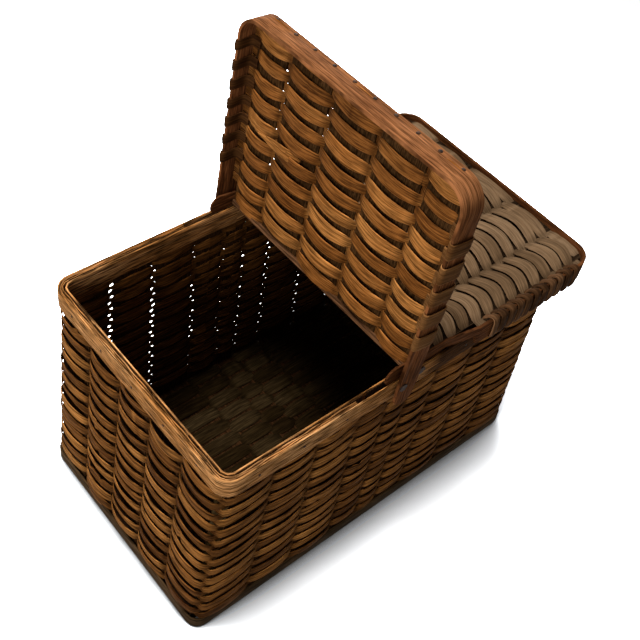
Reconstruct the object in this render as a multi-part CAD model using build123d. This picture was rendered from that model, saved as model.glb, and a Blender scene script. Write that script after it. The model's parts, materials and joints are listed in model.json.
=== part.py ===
"""Splint picnic basket: a woven box with two lids that hinge back to back over the middle of its rim.

The origin is the middle of the base where it meets the table. +X runs along the length towards the
closed lid, +Y across the width and +Z up. The lid on the -X half is modelled open, the other one shut.
"""
from build123d import *
import math
import os

# Outside sizes of the basket, in millimetres
RIM_LENGTH = 450.0
RIM_WIDTH = 290.0
HEIGHT = 280.0

# How far the foot stands out past the rim at each end, and at each side, where it stands in
END_FLARE = 18.0
SIDE_FLARE = -4.5

# Splints of the walls
STAKE_THICKNESS = 1.0
WEAVER_THICKNESS = 1.0
WEAVE_GAP = 0.45
STAKE_GAP = 6.0
STAKE_TRIM = 0.5
CENTRE_STAKE_PITCH = 30.0
NEXT_STAKE_PITCH = 40.0
WIDE_STAKES_PER_SIDE = 3
END_STAKE_COUNT = 5
WALL_CORNER = 10.0
WALL_ROWS = 26
ROW_GAP = 0.5

# Rim hoops, with the slot between the outer hoop and the weave in which a lid's arms hang
HOOP_HEIGHT = 27.0
OUTER_HOOP_THICKNESS = 2.6
INNER_HOOP_THICKNESS = 2.4
ARM_SLOT = 2.7
HOOP_GAP = 0.1
RIM_CORNER_RADIUS = 18.0

# Band round the foot
BASE_BAND_HEIGHT = 18.0
BASE_BAND_THICKNESS = 3.0
BASE_BAND_GAP = 0.3
BASE_CORNER_RADIUS = 15.0

# Floor
FLOOR_HEIGHT = 3.6
FLOOR_STRIP_PITCH = 10.5
FOOT_LENGTH = 25.0

# Lids, each in its own frame: s runs from the pivot to the free end, n is up when the lid is shut
LEFT_LID_REACH = 242.0
RIGHT_LID_REACH = 258.0
LID_OPEN_ANGLE = 94.0
LID_SIDE_GAP = 2.2
LID_BAND_THICKNESS = 3.2
LID_BAND_DROP = 6.0
LID_BAND_RISE = 20.0
LID_CORNER_RADIUS = 25.0
LID_PANEL_RISE = 12.0
LID_RIB_THICKNESS = 1.2
LID_RIB_GAP = 6.0
LID_RIB_PITCH = 62.0
LEFT_LID_ROW_PITCH = 11.0
RIGHT_LID_ROW_PITCH = 9.0
LID_ROW_GAP = 0.8
LID_WEAVE_GAP = 0.3
RAIL_START = 9.0
RAIL_WIDTH = 6.0
RAIL_HEIGHT = 6.0
PANEL_ARM_GAP = 1.5

# Arms of the lids beyond the pivots
PIVOT_DROP = 7.0
ARM_CLEARANCE = 0.2
ARM_INNER_CLEARANCE = 0.3
LEFT_TAIL_CENTRE = (-18.0, 7.0)
RIGHT_TAIL_CENTRE = (-36.0, 13.0)
TAIL_RADIUS = 12.0
LEFT_PANEL_STEP = 40.0
BEND_START = 35.0
BEND_END = 75.0
HOOP_STEP = 8.0
HOOP_STEP_RUN = 5.0

# Pins and tacks
PIN_RADIUS = 2.0
PIN_CLEARANCE = 0.05
PIN_SEAT = 0.02
PIN_HEAD_RADIUS = 4.5
PIN_HEAD_THICKNESS = 1.2
TACK_RADIUS = 0.8
TACK_HEAD_RADIUS = 2.4
TACK_HEAD_THICKNESS = 0.8
TACK_SEAT = 0.03
LID_TACK_COUNT = 10
LID_TACK_DEPTH = 2.4
LID_TACK_EDGE = 4.5

# Places worked out from the sizes above
base_length = RIM_LENGTH + 2 * END_FLARE
base_width = RIM_WIDTH + 2 * SIDE_FLARE
side_stake_count = 3 + 2 * WIDE_STAKES_PER_SIDE
rim_stack = OUTER_HOOP_THICKNESS + ARM_SLOT + WEAVER_THICKNESS + WEAVE_GAP + STAKE_THICKNESS / 2
base_stack = BASE_BAND_THICKNESS + BASE_BAND_GAP + STAKE_THICKNESS / 2
rim_mid_x = RIM_LENGTH / 2 - rim_stack
rim_mid_y = RIM_WIDTH / 2 - rim_stack
base_mid_x = base_length / 2 - base_stack
base_mid_y = base_width / 2 - base_stack
weave_swing = STAKE_THICKNESS / 2 + WEAVE_GAP + WEAVER_THICKNESS / 2
inner_hoop_offset = rim_stack + STAKE_THICKNESS / 2 + HOOP_GAP
pivot_x = CENTRE_STAKE_PITCH / 2
pivot_z = HEIGHT - PIVOT_DROP
hoop_middle_z = HEIGHT - HOOP_HEIGHT / 2
slot_outer_y = RIM_WIDTH / 2 - OUTER_HOOP_THICKNESS
arm_outer_y = slot_outer_y - ARM_CLEARANCE
arm_inner_y = slot_outer_y - ARM_SLOT + ARM_INNER_CLEARANCE
lid_inner_y = RIM_WIDTH / 2 + LID_SIDE_GAP
lid_outer_y = lid_inner_y + LID_BAND_THICKNESS
panel_narrow_y = arm_inner_y - PANEL_ARM_GAP
lid_weave_swing = LID_RIB_THICKNESS / 2 + LID_WEAVE_GAP + WEAVER_THICKNESS / 2


def mix(low, high, share):
    """The value this share of the way from low to high."""
    return low + (high - low) * share


def wall_middle(z):
    """Half length and half width of the stakes' middle surface at height z."""
    share = z / HEIGHT
    return mix(base_mid_x, rim_mid_x, share), mix(base_mid_y, rim_mid_y, share)


def side_stake_edges(z):
    """Low and high x of each side stake at height z, from -X to +X."""
    corner = wall_middle(z)[0] - WALL_CORNER + STAKE_GAP / 2
    near = CENTRE_STAKE_PITCH / 2 + NEXT_STAKE_PITCH
    wide = (corner - near) / WIDE_STAKES_PER_SIDE
    right = [CENTRE_STAKE_PITCH / 2] + [near + wide * k for k in range(WIDE_STAKES_PER_SIDE + 1)]
    seams = [-x for x in reversed(right)] + right
    return [(a + STAKE_GAP / 2, b - STAKE_GAP / 2) for a, b in zip(seams, seams[1:])]


def end_stake_edges(z):
    """Low and high y of each end stake at height z, from -Y to +Y."""
    corner = wall_middle(z)[1] - WALL_CORNER + STAKE_GAP / 2
    pitch = 2 * corner / END_STAKE_COUNT
    seams = [-corner + pitch * k for k in range(END_STAKE_COUNT + 1)]
    return [(a + STAKE_GAP / 2, b - STAKE_GAP / 2) for a, b in zip(seams, seams[1:])]


def offset_path(points, distance, closed):
    """The path moved to its left by the distance, with mitred corners."""
    moved = []
    count = len(points)
    for i, (x, y) in enumerate(points):
        normals = []
        for j in (i - 1, i):
            if closed or 0 <= j < count - 1:
                ax, ay = points[j % count]
                bx, by = points[(j + 1) % count]
                length = math.hypot(bx - ax, by - ay)
                normals.append(((ay - by) / length, (bx - ax) / length))
        nx = sum(n[0] for n in normals)
        ny = sum(n[1] for n in normals)
        scale = distance * len(normals) / (nx * nx + ny * ny)
        moved.append((x + nx * scale, y + ny * scale))
    return moved


def ribbon_face(points, thickness):
    """A strip of even thickness along an open path."""
    left = offset_path(points, thickness / 2, False)
    right = offset_path(points, -thickness / 2, False)
    return make_face(Polyline(*left, *reversed(right), close=True))


def ring_face(points, thickness):
    """A strip of even thickness along a closed path."""
    left = make_face(Polyline(*offset_path(points, thickness / 2, True), close=True))
    right = make_face(Polyline(*offset_path(points, -thickness / 2, True), close=True))
    return right - left if right.area > left.area else left - right


def prism(face, plane, low, high):
    """A face drawn in the plane's x and y, filled from low to high along the plane's normal."""
    return extrude(plane * Pos(0, 0, low) * face, amount=high - low, dir=plane.z_dir)


def block(x, y, z):
    """A box between three pairs of low and high values."""
    box = Box(x[1] - x[0], y[1] - y[0], z[1] - z[0], align=(Align.MIN, Align.MIN, Align.MIN))
    return Pos(x[0], y[0], z[0]) * box


def rod(start, direction, radius, length):
    """A round rod from a start point along a direction."""
    return Plane(origin=start, z_dir=direction) * Cylinder(
        radius, length, align=(Align.CENTER, Align.CENTER, Align.MIN))


def hoop(half_x, half_y, radius, thickness, low, high):
    """A flat hoop bent round a rectangle with rounded corners, given by its outside."""
    outside = RectangleRounded(2 * half_x, 2 * half_y, radius)
    inside = RectangleRounded(2 * (half_x - thickness), 2 * (half_y - thickness), radius - thickness)
    return prism(outside - inside, Plane.XY, low, high)


def woven_path(edges, middle, swing, first, start, end):
    """A path that passes each splint on alternate sides, from start to end along the weave."""
    points = []
    side = first
    for low, high in edges:
        points += [(low, middle + side * swing), (high, middle + side * swing)]
        side = -side
    inner = [p for p in points if start < p[0] < end]
    return [(start, inner[0][1])] + inner + [(end, inner[-1][1])]


def side_stake(index):
    """One splint that goes down one long wall, across under the floor weave and up the other."""
    top = HEIGHT - STAKE_TRIM
    foot_y = wall_middle(FLOOR_HEIGHT)[1]
    top_y = wall_middle(top)[1]
    path = [(-top_y, top), (-foot_y, FLOOR_HEIGHT), (foot_y, FLOOR_HEIGHT), (top_y, top)]
    strip = prism(ribbon_face(path, STAKE_THICKNESS), Plane.YZ, -base_length, base_length)
    low_0, high_0 = side_stake_edges(0)[index]
    low_1, high_1 = side_stake_edges(HEIGHT)[index]
    outline = make_face(Polyline((low_0, 0), (high_0, 0), (high_1, HEIGHT), (low_1, HEIGHT), close=True))
    return strip & prism(outline, Plane.XZ, -base_width, base_width)


def end_stake(index, side):
    """One splint up an end wall, with its foot turned under the floor."""
    top = HEIGHT - STAKE_TRIM
    foot_z = FLOOR_HEIGHT - 2 * weave_swing
    foot_x = wall_middle(foot_z)[0]
    path = [(side * wall_middle(top)[0], top), (side * foot_x, foot_z), (side * (foot_x - FOOT_LENGTH), foot_z)]
    low, high = end_stake_edges(HEIGHT / 2)[index]
    return prism(ribbon_face(path, STAKE_THICKNESS), Plane.XZ, -high, -low)


def corner_arc(centre, start_angle, first_swing):
    """Points round one corner of a weaver, as it crosses from one side of the stakes to the other."""
    points = []
    for share in (0.25, 0.5, 0.75):
        angle = math.radians(start_angle + 90 * share)
        radius = WALL_CORNER + first_swing * (1 - 2 * share)
        points.append((centre[0] + radius * math.cos(angle), centre[1] + radius * math.sin(angle)))
    return points


def weaver_path(z, first):
    """A weaver's closed path round the basket at height z, out and in past each stake in turn."""
    half_x, half_y = wall_middle(z)
    centre_x = half_x - WALL_CORNER
    centre_y = half_y - WALL_CORNER
    points = []
    side = first
    for low, high in end_stake_edges(z):
        points += [(half_x + side * weave_swing, low), (half_x + side * weave_swing, high)]
        side = -side
    points += corner_arc((centre_x, centre_y), 0, -side * weave_swing)
    for low, high in reversed(side_stake_edges(z)):
        points += [(high, half_y + side * weave_swing), (low, half_y + side * weave_swing)]
        side = -side
    points += corner_arc((-centre_x, centre_y), 90, -side * weave_swing)
    for low, high in reversed(end_stake_edges(z)):
        points += [(-half_x - side * weave_swing, high), (-half_x - side * weave_swing, low)]
        side = -side
    points += corner_arc((-centre_x, -centre_y), 180, -side * weave_swing)
    for low, high in side_stake_edges(z):
        points += [(low, -half_y - side * weave_swing), (high, -half_y - side * weave_swing)]
        side = -side
    points += corner_arc((centre_x, -centre_y), 270, -side * weave_swing)
    return points


def wall_weaver(row):
    """One splint woven round all four walls."""
    low = BASE_BAND_HEIGHT + ROW_GAP
    pitch = (HEIGHT - HOOP_HEIGHT - ROW_GAP - low) / WALL_ROWS
    start = low + pitch * row
    first = 1 if row % 2 else -1
    face = ring_face(weaver_path(start + pitch / 2, first), WEAVER_THICKNESS)
    return prism(face, Plane.XY, start, start + pitch - ROW_GAP)


def floor_strips():
    """Splints along the floor, woven over and under the side stakes and rounded off at the corners."""
    half_x, half_y = wall_middle(FLOOR_HEIGHT)
    half_x -= STAKE_THICKNESS / 2 + WEAVE_GAP
    half_y -= STAKE_THICKNESS / 2 + WEAVE_GAP
    outline = prism(RectangleRounded(2 * half_x, 2 * half_y, WALL_CORNER), Plane.XY, 0, 2 * FLOOR_HEIGHT)
    count = int(2 * half_y / FLOOR_STRIP_PITCH)
    strips = []
    for k in range(count):
        first = 1 if k % 2 else -1
        path = woven_path(side_stake_edges(FLOOR_HEIGHT), FLOOR_HEIGHT, weave_swing, first, -half_x, half_x)
        low = (k - count / 2) * FLOOR_STRIP_PITCH
        face = ribbon_face(path, WEAVER_THICKNESS)
        strips.append(prism(face, Plane.XZ, low, low + FLOOR_STRIP_PITCH - ROW_GAP) & outline)
    return strips


def rim_tack_places():
    """Head place and inward direction of each tack through the rim, clear of the lids' arms."""
    places = []
    for low, high in side_stake_edges(hoop_middle_z):
        x = (low + high) / 2
        if abs(x) > pivot_x + BEND_END - STAKE_GAP - WALL_CORNER:
            places += [((x, s * RIM_WIDTH / 2, hoop_middle_z), (0, -s, 0)) for s in (-1, 1)]
    for low, high in end_stake_edges(hoop_middle_z):
        y = (low + high) / 2
        places += [((s * RIM_LENGTH / 2, y, hoop_middle_z), (-s, 0, 0)) for s in (-1, 1)]
    return places


def rim_depth():
    """Thickness of the whole rim, from the outer hoop's outside to the inner hoop's inside."""
    return inner_hoop_offset + INNER_HOOP_THICKNESS


def rim_tack(place, direction, spare=0.0):
    """A tack through the rim, or with some spare radius the hole for its shank."""
    shank = rod(place, direction, TACK_RADIUS + spare, rim_depth())
    if spare:
        return shank
    outward = tuple(-d for d in direction)
    return shank + rod(place, outward, TACK_HEAD_RADIUS, TACK_HEAD_THICKNESS)


def pin_hole(x, spare):
    """The hole for a lid's pins, right across the basket."""
    return rod((x, -RIM_WIDTH, pivot_z), (0, 1, 0), PIN_RADIUS + spare, 2 * RIM_WIDTH)


def hinge_pins():
    """Rivets of the left lid on the outer hoop, and through pins of the right lid."""
    pins = []
    for side in (-1, 1):
        outward = (0, side, 0)
        left_head = lid_outer_y + ARM_CLEARANCE
        left = rod((-pivot_x, side * slot_outer_y, pivot_z), outward, PIN_RADIUS, left_head - slot_outer_y)
        left += rod((-pivot_x, side * left_head, pivot_z), outward, PIN_HEAD_RADIUS, PIN_HEAD_THICKNESS)
        right_end = RIM_WIDTH / 2 - rim_depth()
        right = rod((pivot_x, side * right_end, pivot_z), outward, PIN_RADIUS, rim_depth())
        right += rod((pivot_x, side * RIM_WIDTH / 2, pivot_z), outward, PIN_HEAD_RADIUS, PIN_HEAD_THICKNESS)
        pins += [left, right]
    return pins


def lid_plan(reach, outside):
    """The outside or inside outline of a lid's band, open past its tail, without any bend in its arms."""
    half_y = lid_outer_y if outside else lid_inner_y
    end = reach if outside else reach - LID_BAND_THICKNESS
    radius = LID_CORNER_RADIUS if outside else LID_CORNER_RADIUS - LID_BAND_THICKNESS
    start = -reach / 2
    flat = Pos((start + end) / 2, 0) * Rectangle(end - start, 2 * half_y)
    return fillet(flat.vertices().group_by(Axis.X)[-1], radius)


def bent_arm_fill(reach, side):
    """The bent arm itself, from its tail to where it joins the straight band."""
    points = [(-reach / 2, arm_outer_y), (BEND_START, arm_outer_y), (BEND_END, lid_outer_y),
              (BEND_END, lid_inner_y), (BEND_START, arm_inner_y), (-reach / 2, arm_inner_y)]
    return make_face(Polyline(*[(a, side * b) for a, b in points], close=True))


def arm_profile(reach, tail, bent):
    """The side view of a lid's band and arm, with its rounded tail."""
    drop = -LID_BAND_DROP
    tail_s, tail_n = tail
    points = [(tail_s, tail_n - TAIL_RADIUS), (0, drop)]
    if bent:
        points += [(BEND_START - 2 * HOOP_STEP_RUN, drop), (BEND_START - HOOP_STEP_RUN, HOOP_STEP),
                   (BEND_END - HOOP_STEP_RUN, HOOP_STEP), (BEND_END, drop)]
    points += [(reach, drop), (reach, LID_BAND_RISE), (0, LID_BAND_RISE), (tail_s, tail_n + TAIL_RADIUS)]
    return make_face(Polyline(*points, close=True)) + Pos(tail_s, tail_n) * Circle(TAIL_RADIUS)


def lid_band(reach, tail, bent):
    """A lid's bent band with its two arms, in the lid's frame."""
    plan = lid_plan(reach, True) - lid_plan(reach, False)
    if bent:
        for side in (-1, 1):
            straight = Pos((BEND_END - reach) / 2, side * (lid_inner_y + lid_outer_y) / 2)
            plan -= straight * Rectangle(BEND_END + reach, 2 * LID_BAND_THICKNESS)
            plan += bent_arm_fill(reach, side)
    band = prism(plan, Plane.XY, -LID_BAND_DROP - TAIL_RADIUS, LID_BAND_RISE + TAIL_RADIUS)
    band &= prism(arm_profile(reach, tail, bent), Plane.XZ, -lid_outer_y, lid_outer_y)
    return band - rod((0, -RIM_WIDTH, 0), (0, 1, 0), PIN_RADIUS + PIN_CLEARANCE, 2 * RIM_WIDTH)


def lid_rib_edges():
    """Low and high y of each rib of a lid."""
    inner = [LID_RIB_PITCH / 2, 3 * LID_RIB_PITCH / 2]
    lows = [-panel_narrow_y, -inner[1] + LID_RIB_GAP / 2, -inner[0] + LID_RIB_GAP / 2,
            inner[0] + LID_RIB_GAP / 2, inner[1] + LID_RIB_GAP / 2]
    highs = [-b for b in reversed(lows)]
    return list(zip(lows, highs))


def lid_inside(reach):
    """The space inside a lid's band, which trims what is woven across it."""
    return prism(lid_plan(reach, False), Plane.XY, -LID_BAND_DROP, LID_BAND_RISE)


def lid_ribs(reach):
    """Flat splints from a lid's hinge rail to its free end."""
    start = RAIL_START + RAIL_WIDTH
    half = LID_RIB_THICKNESS / 2
    inside = lid_inside(reach)
    level = (LID_PANEL_RISE - half, LID_PANEL_RISE + half)
    return [block((start, reach), (low, high), level) & inside for low, high in lid_rib_edges()]


def lid_weavers(reach, step, row_pitch):
    """Splints woven across a lid's ribs, kept narrow near the hinge and wide past the step."""
    start = RAIL_START + RAIL_WIDTH + LID_ROW_GAP
    end = reach - LID_BAND_THICKNESS - LID_ROW_GAP
    count = round((end - start) / row_pitch)
    pitch = (end - start) / count
    inside = lid_inside(reach)
    rows = []
    for k in range(count):
        low = start + pitch * k
        half_y = panel_narrow_y if low < step else lid_inner_y
        first = 1 if k % 2 else -1
        path = woven_path(lid_rib_edges(), LID_PANEL_RISE, lid_weave_swing, first, -half_y - 0.01, half_y + 0.01)
        row = prism(ribbon_face(path, WEAVER_THICKNESS), Plane.YZ, low, low + pitch - LID_ROW_GAP)
        rows.append(row & inside)
    return rows


def lid_rail(half_y):
    """The stick across a lid's hinge edge."""
    low = LID_PANEL_RISE - RAIL_HEIGHT / 2
    return block((RAIL_START, RAIL_START + RAIL_WIDTH), (-half_y, half_y), (low, low + RAIL_HEIGHT))


def lid_tack_places():
    """The y of each tack along the upper edge of a lid's free end."""
    span = 2 * (lid_inner_y - LID_CORNER_RADIUS)
    return [-span / 2 + span * k / (LID_TACK_COUNT - 1) for k in range(LID_TACK_COUNT)]


def lid_tack(reach, y, spare=0.0):
    """A tack in a lid's free end, or with some spare radius the hole for its shank."""
    place = (reach, y, LID_BAND_RISE - LID_TACK_EDGE)
    shank = rod(place, (-1, 0, 0), TACK_RADIUS + spare, LID_TACK_DEPTH + spare)
    if spare:
        return shank
    return shank + rod(place, (1, 0, 0), TACK_HEAD_RADIUS, TACK_HEAD_THICKNESS)


def lid_parts(name, reach, tail, bent, step, rail_half, row_pitch):
    """All pieces of one lid by node name, in the lid's frame."""
    band = lid_band(reach, tail, bent)
    for y in lid_tack_places():
        band -= lid_tack(reach, y, TACK_SEAT)
    return {
        f"{name}_lid_band": [band],
        f"{name}_lid_rail": [lid_rail(rail_half)],
        f"{name}_lid_ribs": lid_ribs(reach),
        f"{name}_lid_weavers": lid_weavers(reach, step, row_pitch),
        f"{name}_lid_tacks": [lid_tack(reach, y) for y in lid_tack_places()],
    }


def solids_of(shape):
    """The solids of one shape, or of a list of shapes."""
    shapes = shape if isinstance(shape, list) else [shape]
    return [solid for s in shapes for solid in s.solids()]


# Body of the basket
nodes = {}
tack_places = rim_tack_places()
for i in range(side_stake_count):
    stake = side_stake(i)
    for place, direction in tack_places:
        if direction[1] and abs(place[0] - sum(side_stake_edges(hoop_middle_z)[i]) / 2) < STAKE_GAP:
            stake -= rim_tack(place, direction, TACK_SEAT)
    nodes[f"side_stake_{i + 1}"] = stake
for side, side_name in ((-1, "left"), (1, "right")):
    end_stakes = []
    for i in range(END_STAKE_COUNT):
        stake = end_stake(i, side)
        for place, direction in tack_places:
            if direction[0] == -side and abs(place[1] - sum(end_stake_edges(hoop_middle_z)[i]) / 2) < STAKE_GAP:
                stake -= rim_tack(place, direction, TACK_SEAT)
        end_stakes.append(stake)
    nodes[f"end_stakes_{side_name}"] = end_stakes
for row in range(WALL_ROWS):
    nodes[f"wall_weaver_{row + 1:02d}"] = wall_weaver(row)
outer_hoop = hoop(RIM_LENGTH / 2, RIM_WIDTH / 2, RIM_CORNER_RADIUS, OUTER_HOOP_THICKNESS,
                  HEIGHT - HOOP_HEIGHT, HEIGHT)
inner_hoop = hoop(RIM_LENGTH / 2 - inner_hoop_offset, RIM_WIDTH / 2 - inner_hoop_offset,
                  RIM_CORNER_RADIUS - rim_stack, INNER_HOOP_THICKNESS, HEIGHT - HOOP_HEIGHT, HEIGHT)
for place, direction in tack_places:
    outer_hoop -= rim_tack(place, direction, TACK_SEAT)
    inner_hoop -= rim_tack(place, direction, TACK_SEAT)
nodes["rim_outer_hoop"] = outer_hoop - pin_hole(-pivot_x, PIN_SEAT) - pin_hole(pivot_x, PIN_SEAT)
nodes["rim_inner_hoop"] = inner_hoop - pin_hole(pivot_x, PIN_SEAT)
nodes["rim_tacks"] = [rim_tack(place, direction) for place, direction in tack_places]
nodes["base_band"] = hoop(base_length / 2, base_width / 2, BASE_CORNER_RADIUS, BASE_BAND_THICKNESS,
                          0, BASE_BAND_HEIGHT)
nodes["floor_strips"] = floor_strips()
nodes["hinge_pins"] = hinge_pins()

# Lids, turned to where the basket holds them at rest
right_place = Pos(pivot_x, 0, pivot_z)
left_place = Pos(-pivot_x, 0, pivot_z) * Rot(0, LID_OPEN_ANGLE, 0)
right_parts = lid_parts("right", RIGHT_LID_REACH, RIGHT_TAIL_CENTRE, True, BEND_END, arm_inner_y,
                        RIGHT_LID_ROW_PITCH)
left_parts = lid_parts("left", LEFT_LID_REACH, LEFT_TAIL_CENTRE, False, LEFT_PANEL_STEP, panel_narrow_y,
                       LEFT_LID_ROW_PITCH)
for name, pieces in right_parts.items():
    nodes[name] = [right_place * solid for solid in solids_of(pieces)]
for name, pieces in left_parts.items():
    nodes[name] = [left_place * solid.mirror(Plane.YZ) for solid in solids_of(pieces)]

os.makedirs("parts", exist_ok=True)
for name, shape in nodes.items():
    export_step(Compound(children=solids_of(shape)), f"parts/{name}.step")
print(f"{len(nodes)} nodes written")
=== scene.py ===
"""Looks of a splint picnic basket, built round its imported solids.

One Geometry Nodes tree sweeps the woven splints along their centre lines and lifts each of them over and
under the stakes. Another sets the nail heads. Finishes, lids, studio and camera are classes of their own.
"""

from __future__ import annotations

import json
import logging
import math
from dataclasses import dataclass, fields, replace
from enum import Enum
from typing import Callable, Sequence

import bmesh
import bpy
from mathutils import Matrix, Vector

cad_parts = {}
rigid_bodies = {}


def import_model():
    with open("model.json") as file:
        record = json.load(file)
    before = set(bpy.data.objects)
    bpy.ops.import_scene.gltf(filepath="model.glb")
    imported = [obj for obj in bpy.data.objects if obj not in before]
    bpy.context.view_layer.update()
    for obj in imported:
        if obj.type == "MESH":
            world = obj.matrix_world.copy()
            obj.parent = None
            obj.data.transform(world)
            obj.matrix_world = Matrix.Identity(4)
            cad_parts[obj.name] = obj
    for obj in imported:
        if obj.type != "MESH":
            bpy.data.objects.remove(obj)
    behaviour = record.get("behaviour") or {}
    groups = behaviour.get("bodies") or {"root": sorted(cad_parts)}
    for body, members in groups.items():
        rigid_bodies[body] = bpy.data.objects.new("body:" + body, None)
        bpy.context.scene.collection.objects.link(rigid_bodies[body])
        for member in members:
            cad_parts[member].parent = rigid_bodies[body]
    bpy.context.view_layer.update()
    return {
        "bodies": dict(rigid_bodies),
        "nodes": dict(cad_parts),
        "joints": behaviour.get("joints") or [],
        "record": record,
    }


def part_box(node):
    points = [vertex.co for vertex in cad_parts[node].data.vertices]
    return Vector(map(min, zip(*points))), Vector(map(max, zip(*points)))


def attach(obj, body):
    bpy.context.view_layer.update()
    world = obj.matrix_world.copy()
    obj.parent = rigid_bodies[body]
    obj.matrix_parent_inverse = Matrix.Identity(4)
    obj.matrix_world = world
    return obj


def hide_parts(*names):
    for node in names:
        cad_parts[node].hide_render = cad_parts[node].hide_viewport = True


LOG = logging.getLogger("splint_basket")
Place = tuple[float, float, float]
Colour = tuple[float, float, float]


def blend_between(low: float, high: float, share: float) -> float:
    """Returns the value this share of the way from low to high."""
    return low + (high - low) * share


def ease(value: float, low: float, high: float) -> float:
    """Rises smoothly from 0 at low to 1 at high.

    Args:
        value: Where the rise is read.
        low: Where it starts.
        high: Where it ends.

    Returns:
        A share between 0 and 1.
    """
    share = min(1.0, max(0.0, (value - low) / (high - low)))
    return share * share * (3 - 2 * share)


# Node wiring

@dataclass(frozen=True)
class Field:
    """One output of a node, which can be used in sums."""

    wires: Wires
    socket: bpy.types.NodeSocket

    def __add__(self, other: Field | float) -> Field:
        """Sum of two fields."""
        return self.wires.math("ADD", self, other)

    def __sub__(self, other: Field | float) -> Field:
        """Difference of two fields."""
        return self.wires.math("SUBTRACT", self, other)

    def __mul__(self, other: Field | float) -> Field:
        """Product of two fields."""
        return self.wires.math("MULTIPLY", self, other)

    def __truediv__(self, other: Field | float) -> Field:
        """Quotient of two fields."""
        return self.wires.math("DIVIDE", self, other)

    def __pow__(self, other: Field | float) -> Field:
        """This field raised to a power."""
        return self.wires.math("POWER", self, other)

    def apply(self, operation: str, other: Field | float | None = None) -> Field:
        """Any other operation of the Math node, on this field and perhaps a second one."""
        return self.wires.math(operation, self, other)


class Wires:
    """Lays nodes in one node tree and joins them."""

    def __init__(self, tree: bpy.types.NodeTree) -> None:
        """Starts on a tree, keeping the nodes that it has."""
        self.tree = tree

    def node(self, kind: str, inputs: dict | None = None, **settings: object) -> bpy.types.Node:
        """Adds a node.

        Args:
            kind: The node's type name.
            inputs: What each input gets, by its name or place: a field, a socket or a plain value.
            **settings: Properties of the node itself.

        Returns:
            The new node.
        """
        made = self.tree.nodes.new(kind)
        for name, value in settings.items():
            setattr(made, name, value)
        for key, value in (inputs or {}).items():
            source = value.socket if isinstance(value, Field) else value
            if isinstance(source, bpy.types.NodeSocket):
                self.tree.links.new(source, made.inputs[key])
            else:
                made.inputs[key].default_value = source
        return made

    def out(self, made: bpy.types.Node, key: int | str = 0) -> Field:
        """Returns one output of a node as a field."""
        return Field(self, made.outputs[key])

    def math(self, operation: str, *terms: Field | float | None) -> Field:
        """Adds a Math node on up to three terms."""
        given = {place: term for place, term in enumerate(terms) if term is not None}
        return self.out(self.node("ShaderNodeMath", given, operation=operation))

    def vector(self, operation: str, first: Field, second: Field) -> Field:
        """Adds a Vector Math node on two vectors."""
        return self.out(self.node("ShaderNodeVectorMath", {0: first, 1: second}, operation=operation))

    def unit(self, vector: Field) -> Field:
        """Returns a vector scaled to a length of one."""
        return self.out(self.node("ShaderNodeVectorMath", {0: vector}, operation="NORMALIZE"))

    def scaled(self, vector: Field, amount: Field | float) -> Field:
        """Returns a vector times a number."""
        return self.out(self.node("ShaderNodeVectorMath", {0: vector, 3: amount}, operation="SCALE"))

    def pack(self, x: Field | float, y: Field | float, z: Field | float) -> Field:
        """Returns a vector of three numbers."""
        return self.out(self.node("ShaderNodeCombineXYZ", {0: x, 1: y, 2: z}))

    def mixed(self, share: Field | float, low: Field | float, high: Field | float) -> Field:
        """Returns the number this share of the way from low to high."""
        return self.out(self.node("ShaderNodeMix", {0: share, 2: low, 3: high}, data_type="FLOAT"), 0)

    def spread(self, value: Field, low: float, high: float, new_low: float, new_high: float) -> Field:
        """Maps a range of a field onto another, clamped to its ends."""
        given = {0: value, 1: low, 2: high, 3: new_low, 4: new_high}
        return self.out(self.node("ShaderNodeMapRange", given))

    def noise(self, vector: Field, detail: float = 2.0, roughness: float = 0.5) -> Field:
        """Returns a noise pattern of unit scale at a vector."""
        given = {"Vector": vector, "Scale": 1.0, "Detail": detail, "Roughness": roughness}
        return self.out(self.node("ShaderNodeTexNoise", given), "Fac")

    def ramp(self, value: Field, *stops: tuple[float, Colour]) -> Field:
        """Returns a colour read from a ramp.

        Args:
            value: Where the ramp is read.
            *stops: The places and colours of its stops, in order.

        Returns:
            The colour as a field.
        """
        made = self.node("ShaderNodeValToRGB", {0: value})
        elements = made.color_ramp.elements
        for element, (position, colour) in zip(elements, (stops[0], stops[-1])):
            element.position = position
            element.color = (*colour, 1.0)
        for position, colour in stops[1:-1]:
            elements.new(position).color = (*colour, 1.0)
        return self.out(made, "Color")


class SurfaceWires(Wires):
    """Lays the nodes of a new material and feeds its surface shader."""

    def __init__(self, name: str) -> None:
        """Makes the material."""
        self.material = bpy.data.materials.new(name)
        self.material.use_nodes = True
        super().__init__(self.material.node_tree)
        self.shader = self.tree.nodes["Principled BSDF"]

    def feed(self, name: str, value: Field | float | tuple[float, ...]) -> None:
        """Sets one input of the shader to a field or a plain value."""
        if isinstance(value, Field):
            self.tree.links.new(value.socket, self.shader.inputs[name])
        else:
            self.shader.inputs[name].default_value = value

    def parts(self, vector: Field) -> tuple[Field, Field, Field]:
        """Returns the three numbers of a vector."""
        made = self.node("ShaderNodeSeparateXYZ", {0: vector})
        return self.out(made, 0), self.out(made, 1), self.out(made, 2)

    def attribute(self, name: str) -> tuple[Field, Field, Field]:
        """Returns the three numbers of a vector attribute of the mesh."""
        return self.parts(self.out(self.node("ShaderNodeAttribute", attribute_name=name), "Vector"))

    def spot(self) -> Field:
        """Returns the place on the object."""
        return self.out(self.node("ShaderNodeTexCoord"), "Object")

    def raise_by(self, relief: Field, strength: float, distance: float) -> None:
        """Bumps the surface by a relief."""
        given = {"Strength": strength, "Distance": distance, "Height": relief}
        self.feed("Normal", self.out(self.node("ShaderNodeBump", given)))


# Swept splints

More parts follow.
